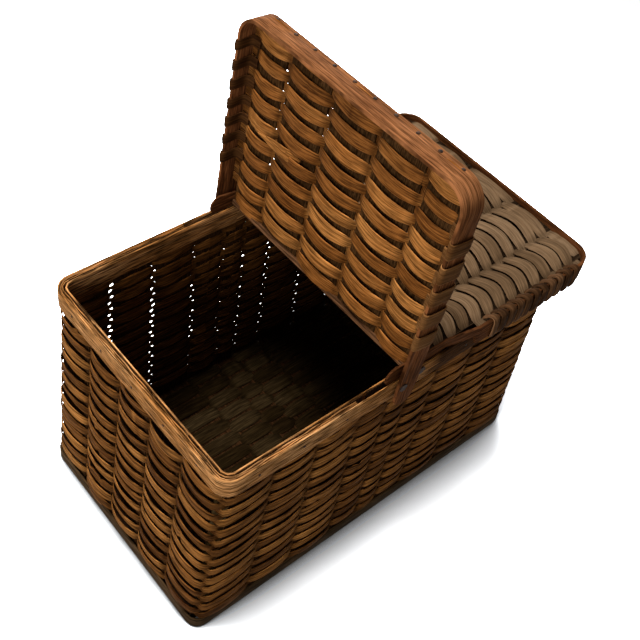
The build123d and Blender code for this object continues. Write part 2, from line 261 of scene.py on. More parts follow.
@dataclass(frozen=True)
class WeaveRule:
    """How one family of splints is shaped along its line, in metres.

    The lift takes a splint off its line over a stake, outwards (out) or inwards (in). A swing is the least
    lift, and a puff is the swell on top of it over a stake of the usual width.
    """

    swing: float = 0.00145
    puff_out: float = 0.0
    puff_in: float = 0.0
    fullness: float = 0.6
    seam_width: float = 0.0095
    out_width: float = 0.0150
    in_width: float = 0.0130
    spread: float = 0.5
    thickness: float = 0.0013
    bow_out: float = 0.0
    bow_in: float = 0.0
    crown: float = 0.0
    jitter: float = 0.3
    wander: float = 0.0006
    lean: float = 0.0
    tilt: float = 0.0
    edge: float = 0.4
    # Lower tone for the arcs inside the stakes: painted shade inside the basket
    inner_tone: float = 1.0
    step: float = 0.004
    seed: int = 7

    def inputs(self) -> dict[str, float]:
        """Returns the tree's inputs by name, such as Puff Out for puff_out."""
        return {size.name.replace("_", " ").title(): getattr(self, size.name) for size in fields(self)}


@dataclass
class Station:
    """One point of a splint's centre line.

    A turn is whole at each seam between stakes, and turn plus row tells on which side of the stake the splint
    lies. Span is the width of the stake there. Room scales puff, bow and tilt down where something is near,
    and pinch scales the splint's width at its seams.
    """

    place: Place
    out: Place
    across: Place
    turn: float = 0.5
    span: float = 0.055
    room: float = 1.0
    pinch: float = 1.0


class Guide:
    """Centre lines of splints, with what the weave rule reads at each of their points."""

    def __init__(self) -> None:
        """Starts with no line."""
        self.stations: list[Station] = []
        self.rows: list[int] = []
        self.edges: list[tuple[int, int]] = []

    def line(self, stations: Sequence[Station], row: int) -> None:
        """Adds one centre line.

        Args:
            stations: Its points in order.
            row: Its number, which sets its parity in the weave and its chance numbers.
        """
        first = len(self.stations)
        self.stations.extend(stations)
        self.rows.extend([row] * len(stations))
        self.edges.extend((first + k, first + k + 1) for k in range(len(stations) - 1))

    def build(self, name: str) -> bpy.types.Object:
        """Makes the mesh of edges that carries the lines and their attributes."""
        mesh = bpy.data.meshes.new(name + "_lines")
        mesh.from_pydata([s.place for s in self.stations], self.edges, [])
        for label, kind, values in (
            ("turn", "FLOAT", [s.turn for s in self.stations]),
            ("row", "FLOAT", [float(r) for r in self.rows]),
            ("span", "FLOAT", [s.span for s in self.stations]),
            ("room", "FLOAT", [s.room for s in self.stations]),
            ("pinch", "FLOAT", [s.pinch for s in self.stations]),
            ("out", "FLOAT_VECTOR", [c for s in self.stations for c in s.out]),
            ("across", "FLOAT_VECTOR", [c for s in self.stations for c in s.across]),
        ):
            store = mesh.attributes.new(label, kind, "POINT")
            store.data.foreach_set("value" if kind == "FLOAT" else "vector", values)
        holder = bpy.data.objects.new(name, mesh)
        bpy.context.scene.collection.objects.link(holder)
        return holder


class SplintTree:
    """Geometry Nodes tree that sweeps flat splints along guide lines and weaves them over and under.

    Its chance numbers differ from arc to arc, an arc being the part of a splint over one stake. Rows are kept
    ROW_STRIDE numbers apart, so that no two arcs share one.
    """

    RING_POINTS = 12
    USUAL_SPAN = 0.055
    ROW_STRIDE = 64.0
    BOW_SHARPNESS = 1.3
    ARC_SLIP = 0.0016
    DRIFT_PER_METRE = 11.0

    def __init__(self) -> None:
        """Builds the tree with its named inputs."""
        self.tree = bpy.data.node_groups.new("woven_splints", "GeometryNodeTree")
        self.tree.interface.new_socket("Geometry", in_out="INPUT", socket_type="NodeSocketGeometry")
        self.tree.interface.new_socket("Geometry", in_out="OUTPUT", socket_type="NodeSocketGeometry")
        self.tree.interface.new_socket("Finish", in_out="INPUT", socket_type="NodeSocketMaterial")
        for name, value in WeaveRule().inputs().items():
            kind = "NodeSocketInt" if isinstance(value, int) else "NodeSocketFloat"
            self.tree.interface.new_socket(name, in_out="INPUT", socket_type=kind)
        self.wires = Wires(self.tree)
        self.group = self.tree.nodes.new("NodeGroupInput")
        self._wire()

    def _input(self, name: str) -> Field:
        """Returns one of the tree's inputs."""
        return self.wires.out(self.group, name)

    def _read(self, name: str, kind: str = "FLOAT") -> Field:
        """Returns a named attribute of the points."""
        made = self.wires.node("GeometryNodeInputNamedAttribute", {"Name": name}, data_type=kind)
        return self.wires.out(made)

    def _store(
        self, shape: Field, name: str, value: Field, kind: str = "FLOAT", domain: str = "POINT"
    ) -> Field:
        """Stores a field on the shape under a name."""
        given = {"Geometry": shape, "Name": name, "Value": value}
        made = self.wires.node("GeometryNodeStoreNamedAttribute", given, data_type=kind, domain=domain)
        return self.wires.out(made)

    def _chance(self, number: Field, spare: int) -> Field:
        """Returns a chance number from -1 to 1 for each value of a whole number."""
        seed = self._input("Seed") + float(spare)
        given = {2: -1.0, 3: 1.0, 7: number, 8: seed}
        return self.wires.out(self.wires.node("FunctionNodeRandomValue", given, data_type="FLOAT"), 1)

    def _centre_lines(self) -> Field:
        """Turns the guide's edges into curves of even steps that remember their own line."""
        wires = self.wires
        curve = wires.out(wires.node("GeometryNodeMeshToCurve", {"Mesh": self._input("Geometry")}))
        given = {"Curve": curve, "Length": self._input("Step")}
        curve = wires.out(wires.node("GeometryNodeResampleCurve", given, mode="LENGTH"))
        curve = self._store(curve, "line", wires.out(wires.node("GeometryNodeInputPosition")), "FLOAT_VECTOR")
        return self._store(curve, "along", wires.out(wires.node("GeometryNodeSplineParameter"), "Length"))

    def _section(self) -> Field:
        """Makes the flat section with rounded edges, u across it and v through its thickness."""
        wires = self.wires
        circle = wires.out(wires.node("GeometryNodeCurvePrimitiveCircle", {"Resolution": self.RING_POINTS}))
        index = wires.out(wires.node("GeometryNodeSplineParameter"), "Index")
        angle = index * (2 * math.pi / self.RING_POINTS)
        for name, turn in (("u", "COSINE"), ("v", "SINE")):
            wave = angle.apply(turn)
            rounded = wave.apply("SIGN") * wave.apply("ABSOLUTE") ** self._input("Edge")
            circle = self._store(circle, name, rounded)
        return circle

    def _wire(self) -> None:
        """Joins the whole tree."""
        wires = self.wires
        given = {"Curve": self._centre_lines(), "Profile Curve": self._section(), "Fill Caps": True}
        shape = wires.out(wires.node("GeometryNodeCurveToMesh", given))
        turn, row, along = self._read("turn"), self._read("row"), self._read("along")
        u, v = self._read("u"), self._read("v")
        wave = ((turn + row) * math.pi).apply("SINE")
        rise = wave.apply("ABSOLUTE")
        outside = wave.apply("GREATER_THAN", 0.0)
        arc = turn.apply("FLOOR") + row * self.ROW_STRIDE
        seam = turn.apply("ROUND") + row * self.ROW_STRIDE
        jitter = self._input("Jitter")

        # Lift off the line, outwards over one stake and inwards over the next
        room = self._read("room")
        puff = wires.mixed(outside, self._input("Puff In"), self._input("Puff Out"))
        lift_top = self._input("Swing") + puff * room * self._read("span") / self.USUAL_SPAN
        uneven = self._chance(arc, 1) * jitter * 0.5 + 1.0
        lift = wave.apply("SIGN") * rise ** self._input("Fullness") * lift_top * uneven
        lift = lift + self._input("Crown") * (u * u * -1.0 + 1.0)
        tilt = (self._chance(arc, 2) * self._input("Lean") + self._input("Tilt")) * rise * u
        tilt = tilt * room.apply("MINIMUM", 1.0)

        # Width, and the bow, drift and slip along the wall
        wide = wires.mixed(outside, self._input("In Width"), self._input("Out Width"))
        wide = wide * (self._chance(arc, 3) * jitter * 0.3 + 1.0)
        uneven = self._chance(seam, 4) * jitter * 0.5 + 1.0
        narrow = self._input("Seam Width") * self._read("pinch") * uneven
        half = wires.mixed(rise ** self._input("Spread"), narrow, wide) * 0.5
        bow = wires.mixed(outside, self._input("Bow In"), self._input("Bow Out")) * room
        bow = bow * rise ** self.BOW_SHARPNESS
        drift_place = wires.pack(along * self.DRIFT_PER_METRE, row * 3.71, self._input("Seed") * 1.3)
        drift = wires.noise(drift_place, 1.0) - 0.5
        slip = self._chance(arc, 5) * jitter * rise * self.ARC_SLIP
        shift = bow + drift * self._input("Wander") * 2.0 + slip

        # Places of the points, and what the finishes read
        through = v * self._input("Thickness") * 0.5 + lift + tilt
        outward = wires.unit(self._read("out", "FLOAT_VECTOR"))
        sideways = wires.unit(self._read("across", "FLOAT_VECTOR"))
        place = wires.vector("ADD", self._read("line", "FLOAT_VECTOR"), wires.scaled(outward, through))
        place = wires.vector("ADD", place, wires.scaled(sideways, shift + u * half))
        # Arcs inside the stakes get a lower tone as painted shade. The mark keeps the tone, the rise that sets
        # the painted seam shade with dirt, and the distance across that sets the painted edge highlight
        tone = (self._chance(arc, 6) * 0.5 + 0.5) * wires.mixed(outside, self._input("Inner Tone"), 1.0)
        shape = self._store(shape, "grain", wires.pack(along, u * half, arc * 0.37), "FLOAT_VECTOR")
        shape = self._store(shape, "mark", wires.pack(tone, rise, u.apply("ABSOLUTE")), "FLOAT_VECTOR")
        shape = self._store(shape, "UVMap", wires.pack(along, u * half, 0.0), "FLOAT2", "CORNER")
        shape = wires.out(wires.node("GeometryNodeSetPosition", {"Geometry": shape, "Position": place}))
        for name in ("turn", "row", "along", "u", "v", "line", "out", "across", "span", "room", "pinch"):
            shape = wires.out(wires.node("GeometryNodeRemoveAttribute", {"Geometry": shape, "Name": name}))
        shape = wires.out(wires.node("GeometryNodeSetShadeSmooth", {"Geometry": shape}))
        shape = wires.out(wires.node("GeometryNodeRealizeInstances", {"Geometry": shape}))
        given = {"Geometry": shape, "Material": self._input("Finish")}
        shape = wires.out(wires.node("GeometryNodeSetMaterial", given))
        wires.node("NodeGroupOutput", {"Geometry": shape})

    def weave(self, guide: Guide, rule: WeaveRule, finish: bpy.types.Material, name: str) -> bpy.types.Object:
        """Sweeps a guide's lines into one plain mesh object.

        Args:
            guide: The centre lines.
            rule: The splints' shape.
            finish: Their material.
            name: The new object's name.

        Returns:
            The finished object, at the origin.
        """
        return grown(guide.build(name), self.tree, {**rule.inputs(), "Finish": finish})


def grown(holder: bpy.types.Object, tree: bpy.types.NodeTree, given: dict[str, object]) -> bpy.types.Object:
    """Runs a Geometry Nodes tree on an object and keeps what it makes.

    Args:
        holder: The object that carries the lines or points, which is removed.
        tree: The tree to run.
        given: What each of the tree's inputs gets, by its name.

    Returns:
        A plain object of the same name at the origin.
    """
    modifier = holder.modifiers.new("growth", "NODES")
    modifier.node_group = tree
    for item in tree.interface.items_tree:
        if item.item_type == "SOCKET" and item.in_out == "INPUT" and item.name in given:
            modifier[item.identifier] = given[item.name]
    return settle(holder, holder.name)


def settle(holder: bpy.types.Object, name: str) -> bpy.types.Object:
    """Turns an object with live modifiers into a plain mesh object with outward faces.

    Args:
        holder: The object with its modifiers, which is removed.
        name: The new object's name.

    Returns:
        The plain object at the origin.
    """
    bpy.context.view_layer.update()
    depsgraph = bpy.context.evaluated_depsgraph_get()
    seen = holder.evaluated_get(depsgraph)
    mesh = bpy.data.meshes.new_from_object(seen, preserve_all_data_layers=True, depsgraph=depsgraph)
    old = holder.data
    bpy.data.objects.remove(holder)
    bpy.data.meshes.remove(old)
    shell = bmesh.new()
    shell.from_mesh(mesh)
    bmesh.ops.recalc_face_normals(shell, faces=shell.faces)
    shell.to_mesh(mesh)
    shell.free()
    mesh.name = name
    piece = bpy.data.objects.new(name, mesh)
    bpy.context.scene.collection.objects.link(piece)
    return piece


# Finishes

class GrainLay(Enum):
    """Where a wood finish reads the direction of its grain."""

    PATH = "path"
    ACROSS_X = "across_x"
    ACROSS_Y = "across_y"
    ACROSS_XZ = "across_xz"


@dataclass(frozen=True)
class WoodFinish:
    """Old split wood with fibres, streaks and stains.

    The shade runs from dark by middle to light. A finish with the path's grain takes tone_share of it from the
    mesh's mark attribute, darkens the splint at its seams with painted shade and dirt and lightens its edges
    with a painted highlight, by the amounts of two of its fields. The patterns get finer as fine and broad
    rise.
    """

    name: str
    dark: Colour
    middle: Colour
    light: Colour
    lay: GrainLay = GrainLay.PATH
    tone_share: float = 0.45
    # Painted shade with dirt, darkening each splint at its seams where it passes under a stake
    grime: float = 0.45
    # Painted highlight along the splint's edges
    wear: float = 0.25
    fibre_depth: float = 0.62
    rough_low: float = 0.45
    rough_high: float = 0.75
    bump: float = 0.35
    fine: float = 820.0
    broad: float = 260.0
    stain_size: float = 13.0
    streak_length: float = 9.0
    specular: float = 0.006
    gloss_tint: Colour = (1.0, 0.62, 0.34)

    # Stops of the colour ramp
    DARK_AT = 0.12
    MIDDLE_AT = 0.5
    LIGHT_AT = 0.9
    # Changes of the fibres and of the dark lines to a metre along the grain
    FIBRE_RUN = 42.0
    LINE_RUN = 16.0
    # The part of each pattern's range that is spread out
    FIBRE_RANGE = (0.36, 0.64)
    STREAK_RANGE = (0.28, 0.72)
    STAIN_RANGE = (0.3, 0.7)
    LINE_RANGE = (0.56, 0.66)
    SEAM_RANGE = (0.0, 0.42)
    EDGE_RANGE = (0.86, 0.99)
    ROUGH_RANGE = (0.3, 0.7)
    BUMP_DEPTH = 0.0007

    def _grain_space(self, wires: SurfaceWires) -> tuple[Field, Field, Field]:
        """Returns the coordinates across the grain, along it and a chance number or second coordinate."""
        if self.lay is GrainLay.PATH:
            along, across, chance = wires.attribute("grain")
            return across, along, chance * 0.01
        x, y, z = wires.parts(wires.spot())
        if self.lay is GrainLay.ACROSS_X:
            return x, y + z * 0.8, z
        if self.lay is GrainLay.ACROSS_Y:
            return y, x + z * 0.8, z
        return x + z * 0.7, y, z

    def build(self) -> bpy.types.Material:
        """Makes the material."""
        wires = SurfaceWires(self.name)
        across, along, chance = self._grain_space(wires)
        fibre_place = wires.pack(across * self.fine, along * self.FIBRE_RUN, chance * 90.0)
        fibre = wires.noise(fibre_place, 2.0, 0.6)
        streak_place = wires.pack(across * self.broad, along * self.streak_length, chance * 130.0)
        streak = wires.noise(streak_place, 3.0, 0.55)
        line_place = wires.pack(across * self.fine * 0.45, along * self.LINE_RUN, chance * 71.0)
        line = wires.spread(wires.noise(line_place), *self.LINE_RANGE, 1.0, 1.0 - 0.6 * self.fibre_depth)
        stain = wires.noise(wires.scaled(wires.spot(), self.stain_size), 4.0, 0.6)
        stain = wires.spread(stain, *self.STAIN_RANGE, 0.0, 1.0)
        base = wires.spread(streak, *self.STREAK_RANGE, 0.0, 1.0)
        depth = self.fibre_depth
        level = wires.spread(fibre, *self.FIBRE_RANGE, 1.0 - depth, 1.0 + 0.5 * depth) * line
        if self.lay is GrainLay.PATH:
            tone, rise, side = wires.attribute("mark")
            rest = (1.0 - self.tone_share) / 2
            shade = tone * self.tone_share + base * rest + stain * rest
            # Painted shade with dirt darkens the splint towards its seams
            level = level * wires.spread(rise, *self.SEAM_RANGE, 1.0 - self.grime, 1.0)
            # Painted highlight lightens the splint's edges
            level = level * wires.spread(side, *self.EDGE_RANGE, 1.0, 1.0 + self.wear)
        else:
            shade = base * 0.5 + stain * 0.5
        stops = (self.DARK_AT, self.dark), (self.MIDDLE_AT, self.middle), (self.LIGHT_AT, self.light)
        wires.feed("Base Color", wires.scaled(wires.ramp(shade, *stops), level))
        relief = fibre * 0.6 + streak * 0.4
        wires.feed("Roughness", wires.spread(relief, *self.ROUGH_RANGE, self.rough_high, self.rough_low))
        wires.raise_by(relief + line * 0.35, self.bump, self.BUMP_DEPTH)
        wires.feed("Specular IOR Level", self.specular)
        wires.feed("Specular Tint", (*self.gloss_tint, 1.0))
        return wires.material


@dataclass(frozen=True)
class IronFinish:
    """Small dark nails with a little rust."""

    name: str = "nail_iron_look"
    dark: Colour = (0.012, 0.010, 0.009)
    rust: Colour = (0.075, 0.035, 0.018)
    dark_until: float = 0.42
    rust_from: float = 0.68
    rough_low: float = 0.40
    rough_high: float = 0.80
    cloud_size: float = 420.0
    bump: float = 0.3
    bump_depth: float = 0.0003
    metallic: float = 0.2
    specular: float = 0.05

    def build(self) -> bpy.types.Material:
        """Makes the material."""
        wires = SurfaceWires(self.name)
        cloud = wires.noise(wires.scaled(wires.spot(), self.cloud_size), 3.0, 0.6)
        wires.feed("Base Color", wires.ramp(cloud, (self.dark_until, self.dark), (self.rust_from, self.rust)))
        wires.feed("Roughness", wires.spread(cloud, 0.3, 0.7, self.rough_low, self.rough_high))
        wires.raise_by(cloud, self.bump, self.bump_depth)
        wires.feed("Metallic", self.metallic)
        wires.feed("Specular IOR Level", self.specular)
        return wires.material


class Finishes:
    """All the materials of the basket, by the names of their woods and of the nails' iron."""

    def __init__(self) -> None:
        """Makes every finish once."""
        woods = {
            "weaver_splint": WoodFinish(
                "weaver_splint_look", (0.042, 0.014, 0.0035), (0.160, 0.063, 0.0150), (0.345, 0.150, 0.0380),
                fibre_depth=0.75,
            ),
            "stake_splint": WoodFinish(
                "stake_splint_look", (0.016, 0.007, 0.003), (0.036, 0.016, 0.006), (0.065, 0.029, 0.011),
                lay=GrainLay.ACROSS_X,
            ),
            "end_stake_splint": WoodFinish(
                "end_stake_splint_look", (0.016, 0.007, 0.003), (0.036, 0.016, 0.006), (0.065, 0.029, 0.011),
                lay=GrainLay.ACROSS_Y,
            ),
            "hoop_wood": WoodFinish(
                "hoop_wood_look", (0.048, 0.018, 0.004), (0.245, 0.104, 0.029), (0.640, 0.350, 0.150),
                tone_share=0.5, grime=0.0, fibre_depth=0.9, wear=0.6, broad=330.0, rough_low=0.42,
                rough_high=0.66, specular=0.004,
            ),
            "base_wood": WoodFinish(
                "base_wood_look", (0.018, 0.011, 0.005), (0.045, 0.026, 0.012), (0.085, 0.050, 0.024),
                tone_share=0.0, grime=0.0, broad=330.0,
            ),
            "floor_splint": WoodFinish(
                "floor_splint_look", (0.008, 0.0042, 0.0014), (0.022, 0.0128, 0.0046), (0.052, 0.033, 0.014),
                grime=0.15, wear=0.0,
            ),
            "lid_band_wood": WoodFinish(
                "lid_band_wood_look", (0.030, 0.010, 0.003), (0.140, 0.050, 0.017), (0.330, 0.135, 0.052),
                tone_share=0.50, grime=0.0, fine=1100.0, broad=700.0, streak_length=20.0, rough_low=0.45,
                rough_high=0.7, specular=0.005,
            ),
            "open_lid_splint": WoodFinish(
                "open_lid_splint_look", (0.078, 0.025, 0.005), (0.198, 0.072, 0.016), (0.400, 0.170, 0.045),
                grime=0.55, wear=0.5, rough_low=0.4, rough_high=0.68, specular=0.020,
            ),
            "shut_lid_splint": WoodFinish(
                "shut_lid_splint_look", (0.082, 0.047, 0.023), (0.160, 0.096, 0.050), (0.245, 0.155, 0.086),
                grime=0.35, fibre_depth=0.34, rough_low=0.5, rough_high=0.8,
            ),
            "open_wrap_splint": WoodFinish(
                "open_wrap_splint_look", (0.028, 0.011, 0.004), (0.080, 0.033, 0.010), (0.165, 0.075, 0.025),
                grime=0.0, wear=1.0, fibre_depth=0.4,
            ),
            "shut_wrap_splint": WoodFinish(
                "shut_wrap_splint_look", (0.020, 0.009, 0.004), (0.068, 0.031, 0.013), (0.150, 0.075, 0.035),
                grime=0.0, wear=0.9, fibre_depth=0.5,
            ),
            "rib_splint": WoodFinish(
                "rib_splint_look", (0.018, 0.008, 0.003), (0.040, 0.018, 0.006), (0.072, 0.034, 0.012),
                lay=GrainLay.ACROSS_Y,
            ),
            # A darker copy of the rib wood for the shut lid: painted shade in the gaps between its arcs
            "shut_rib_splint": WoodFinish(
                "shut_rib_splint_look", (0.007, 0.004, 0.002), (0.018, 0.010, 0.005), (0.036, 0.021, 0.011),
                lay=GrainLay.ACROSS_Y,
            ),
            "rail_wood": WoodFinish(
                "rail_wood_look", (0.050, 0.022, 0.010), (0.110, 0.050, 0.022), (0.190, 0.090, 0.040),
                lay=GrainLay.ACROSS_XZ,
            ),
        }
        self.by_name = {name: wood.build() for name, wood in woods.items()}
        self.by_name["nail_iron"] = IronFinish().build()

    def of(self, name: str) -> bpy.types.Material:
        """Returns a material by its name."""
        return self.by_name[name]


# Walls, floor and stakes

@dataclass(frozen=True)
class BasketSizes:
    """Sizes of the basket's body, in metres, as in the solids."""

    height: float = 0.280
    rim_half: tuple[float, float] = (0.2250, 0.1450)
    rim_middle: tuple[float, float] = (0.21775, 0.13775)
    base_middle: tuple[float, float] = (0.2392, 0.1367)
    wall_corner: float = 0.010
    rim_corner: float = 0.018
    stake_gap: float = 0.006
    row_low: float = 0.0185
    row_high: float = 0.2530
    rows: int = 26
    centre_pitch: float = 0.030
    next_pitch: float = 0.040
    wide_stakes: int = 3
    end_stakes: int = 5
    floor_height: float = 0.0036
    floor_pitch: float = 0.0105
    hoop_height: float = 0.027
    outer_hoop_thick: float = 0.0026
    inner_hoop_thick: float = 0.0024
    inner_hoop_inset: float = 0.00785
    band_thick: float = 0.003
    band_corner: float = 0.0135
    filler_insets: tuple[float, float] = (0.0036, 0.0058)
    filler_thick: float = 0.0015
    filler_low: float = 0.021
    filler_high: float = 0.0008
    arms_from: float = 0.068

    def middle(self, z: float) -> tuple[float, float]:
        """Returns the half length and half width of the stakes' middle surface at a height."""
        share = z / self.height
        return (blend_between(self.base_middle[0], self.rim_middle[0], share),
                blend_between(self.base_middle[1], self.rim_middle[1], share))

    def side_seams(self, z: float) -> list[float]:
        """Returns the x of each seam between side stakes at a height, outermost ones included."""
        corner = self.middle(z)[0] - self.wall_corner + self.stake_gap / 2
        near = self.centre_pitch / 2 + self.next_pitch
        wide = (corner - near) / self.wide_stakes
        right = [self.centre_pitch / 2] + [near + wide * k for k in range(self.wide_stakes + 1)]
        return [-x for x in reversed(right)] + right

    def end_seams(self, z: float) -> list[float]:
        """Returns the y of each seam between end stakes at a height, outermost ones included."""
        corner = self.middle(z)[1] - self.wall_corner + self.stake_gap / 2
        pitch = 2 * corner / self.end_stakes
        return [-corner + pitch * k for k in range(self.end_stakes + 1)]


class RoundedRing:
    """A rectangle with rounded corners, walked counterclockwise from the middle of its +X, -Y corner."""

    def __init__(self, half_x: float, half_y: float, radius: float) -> None:
        """Keeps the sizes and measures the runs."""
        self.half_x, self.half_y, self.radius = half_x, half_y, radius
        self.arc = radius * math.pi / 2
        self.runs = (2 * (half_y - radius), 2 * (half_x - radius))
        self.length = 4 * self.arc + 2 * sum(self.runs)

    def corner(self, count: int) -> float:
        """Returns the distance walked to the middle of a corner, 0 for the first."""
        return sum(self.runs[k % 2] + self.arc for k in range(count))

    def at(self, walked: float) -> tuple[float, float, float, float]:
        """Returns x and y of a point and the outward direction there.

        Args:
            walked: The distance from the start, any number of times round.

        Returns:
            x, y and the outward direction's x and y.
        """
        left = walked % self.length
        inner = (self.half_x - self.radius, self.half_y - self.radius)
        centres = ((inner[0], -inner[1]), (inner[0], inner[1]), (-inner[0], inner[1]), (-inner[0], -inner[1]))
        left += self.arc / 2
        for side in range(5):
            cx, cy = centres[side % 4]
            quarter = math.pi / 2 * side
            if left <= self.arc:
                angle = quarter - math.pi / 2 + left / self.radius
                nx, ny = math.cos(angle), math.sin(angle)
                return cx + self.radius * nx, cy + self.radius * ny, nx, ny
            left -= self.arc
            run = self.runs[side % 2]
            if left <= run:
                nx, ny = math.cos(quarter), math.sin(quarter)
                return cx + self.radius * nx - left * ny, cy + self.radius * ny + left * nx, nx, ny
            left -= run
        return self.at(0.0)


def join_body(piece: bpy.types.Object, body: str, slot: str, *nodes: str) -> None:
    """Joins a finished piece to a CAD body.

    Args:
        piece: The piece.
        body: The body that it rides on.
        slot: Its material slot in the record; not used.
        *nodes: The CAD nodes that it stands for, or none where it adds to them.
    """
    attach(piece, body)
    if nodes:
        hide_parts(*nodes)
    LOG.info("%s rides on %s and stands for %s", piece.name, body, ", ".join(nodes) or "no node")


@dataclass
class BasketBody:
    """Walls, floor, hoops and nails of the basket's body."""

    BODY = "basket"
    # Where the tails of the lids' bands swing past the long walls: no puff inside the x and above the z
    TAIL_X = (0.062, 0.095)
    TAIL_Z = (0.190, 0.222)
    END_WALL_ROOM = 1.3
    SIDE_WALL_ROOM = 0.72
    # Where the back wall's loose weave and the corners begin and end
    BACK_Y = (0.120, 0.130)
    LOOSEST_X = (0.08, 0.14)
    CORNER_X = (0.210, 0.225)
    CORNER_Y = (0.118, 0.130)
    WIDE_CORNER = 1.6
    # The back wall's column that holds a row's ends, counted from the first corner
    START_COLUMN = 10
    ROW_DROP = 0.00025
    WALL_STEPS = 420
    FLOOR_INSET = 0.0011
    FLOOR_STEPS = 10
    HOOP_STEPS = 360
    # The rim turns from pale to dark where the shut lid begins, as painted shadow of the lid with darker aged
    # wood
    RIM_SHADE_X = (0.015, 0.060)
    # The lids' arms cover the middle of the rim to this x, so no nail sits there
    ARMS_HALF = 0.074
    NAIL_RADIUS = 0.0016
    NAIL_HEIGHT = 0.0006
    NAIL_CLEAR = 0.0001

    sizes: BasketSizes
    finishes: Finishes
    splints: SplintTree
    wall_rule: WeaveRule = WeaveRule(
        puff_out=0.0036, puff_in=0.0020, seam_width=0.0066, out_width=0.0171, in_width=0.0128,
        thickness=0.0014, bow_out=-0.0006, jitter=0.34, wander=0.0009, lean=0.0009, tilt=0.0014, spread=0.4,
        inner_tone=0.35, step=0.0042, seed=11,
    )
    floor_rule: WeaveRule = WeaveRule(
        puff_out=0.0003, puff_in=0.0002, seam_width=0.0098, out_width=0.0197, in_width=0.0130,
        thickness=0.0010, fullness=0.45, jitter=0.12, step=0.006, wander=0.0003, spread=0.2, seed=23,
    )
    hoop_rule: WeaveRule = WeaveRule(
        swing=0.0, out_width=0.027, in_width=0.027, seam_width=0.027, jitter=0.0, wander=0.0004,
        thickness=0.0026, edge=0.5, crown=0.0002, step=0.006, seed=3,
    )

    def _wall_frame(self, nx: float, ny: float) -> tuple[Place, Place]:
        """Returns the outward and upward directions of the sloping wall where its level normal is given."""
        slope_x = (self.sizes.rim_middle[0] - self.sizes.base_middle[0]) / self.sizes.height
        slope_y = (self.sizes.rim_middle[1] - self.sizes.base_middle[1]) / self.sizes.height
        out = Vector((nx, ny, -slope_x * abs(nx) - slope_y * abs(ny))).normalized()
        up = (Vector((0, 0, 1)) - out * out.z).normalized()
        return tuple(out), tuple(up)

    def _room(self, x: float, z: float, ny: float) -> float:
        """Returns how much of the puff a wall splint may have, none where the lids' tails swing past."""
        free = max(ease(abs(x), *self.TAIL_X), ease(-z, -self.TAIL_Z[1], -self.TAIL_Z[0]), 1.0 - abs(ny))
        return free * blend_between(self.END_WALL_ROOM, self.SIDE_WALL_ROOM, abs(ny))

    def _pinch(self, x: float, y: float) -> float:
        """Returns the share of a wall splint's seam width: narrow in the back wall, wide at two corners."""
        corner = ease(abs(x), *self.CORNER_X) * ease(abs(y), *self.CORNER_Y)
        loose = ease(y, *self.BACK_Y) * blend_between(0.26, 0.66, ease(-x, *self.LOOSEST_X))
        return blend_between(1.0 - loose, self.WIDE_CORNER if x * y < 0 else 1.0, corner)

    def _seams_round(self, ring: RoundedRing, z: float) -> list[float]:
        """Returns the distance walked to each seam of a wall row, from the first corner all the way round."""
        ends, sides = self.sizes.end_seams(z)[1:-1], self.sizes.side_seams(z)[1:-1]
        inner = (ring.half_x - ring.radius, ring.half_y - ring.radius)
        marks = []
        for side in range(4):
            marks.append(ring.corner(side))
            start = ring.corner(side) + ring.arc / 2
            seams, half = ((ends, inner[1]), (sides, inner[0]))[side % 2]
            marks.extend(start + half + s for s in seams)
        return marks + [ring.length]

    def wall_row(self, row: int) -> Guide:
        """Returns the centre line of one wall row, with its ends tucked behind a stake of the back wall."""
        pitch = (self.sizes.row_high - self.sizes.row_low) / self.sizes.rows
        z = self.sizes.row_low + pitch * (row + 0.5) - self.ROW_DROP
        half_x, half_y = self.sizes.middle(z)
        ring = RoundedRing(half_x, half_y, self.sizes.wall_corner)
        marks = self._seams_round(ring, z)
        count = len(marks) - 1
        first = self.START_COLUMN - row % 2
        start = (marks[first] + marks[first + 1]) / 2
        stations = []
        for k in range(self.WALL_STEPS + 1):
            walked = start + ring.length * k / self.WALL_STEPS
            wrapped = walked % ring.length
            lap = int(walked // ring.length)
            column = max(c for c in range(count) if marks[c] <= wrapped + 1e-9)
            span = marks[column + 1] - marks[column]
            turn = column + (wrapped - marks[column]) / span + lap * count
            x, y, nx, ny = ring.at(wrapped)
            out, up = self._wall_frame(nx, ny)
            room, pinch = self._room(x, z, ny), self._pinch(x, y)
            stations.append(Station((x, y, z), out, up, turn, span, room, pinch))
        guide = Guide()
        guide.line(stations, row + 1)
        return guide

    def weave_walls(self) -> None:
        """Makes the rows of the four walls, one piece each."""
        finish = self.finishes.of("weaver_splint")
        for row in range(self.sizes.rows):
            name = f"wall_splint_{row + 1:02d}"
            piece = self.splints.weave(self.wall_row(row), self.wall_rule, finish, name)
            join_body(piece, self.BODY, "weaver_splint", f"wall_weaver_{row + 1:02d}")

    def weave_floor(self) -> None:
        """Makes the floor's strips, over and under the stakes' floor runs."""
        z = self.sizes.floor_height
        half_x, half_y = (half - self.FLOOR_INSET for half in self.sizes.middle(z))
        count = int(2 * half_y / self.sizes.floor_pitch)
        pitch = 2 * half_y / count
        seams = self.sizes.side_seams(z)
        guide = Guide()
        for k in range(count):
            y = (k + 0.5 - count / 2) * pitch
            near = half_y - abs(y) - pitch / 2
            corner = self.sizes.wall_corner
            cut = min(max(0.0, corner - near), corner)
            trim = corner - math.sqrt(corner ** 2 - cut ** 2)
            ends = (-half_x + trim, half_x - trim)
            marks = [ends[0]] + seams[1:-1] + [ends[1]]
            stations = []
            for column, (low, high) in enumerate(zip(marks, marks[1:])):
                last = column == len(marks) - 2
                for part in range(self.FLOOR_STEPS + last):
                    share = part / self.FLOOR_STEPS
                    place = (blend_between(low, high, share), y, z)
                    stations.append(Station(place, (0, 0, 1), (0, 1, 0), column + share, high - low))
            guide.line(stations, k + 1)
        piece = self.splints.weave(guide, self.floor_rule, self.finishes.of("floor_splint"), "floor_weave")
        join_body(piece, self.BODY, "floor_splint", "floor_strips")

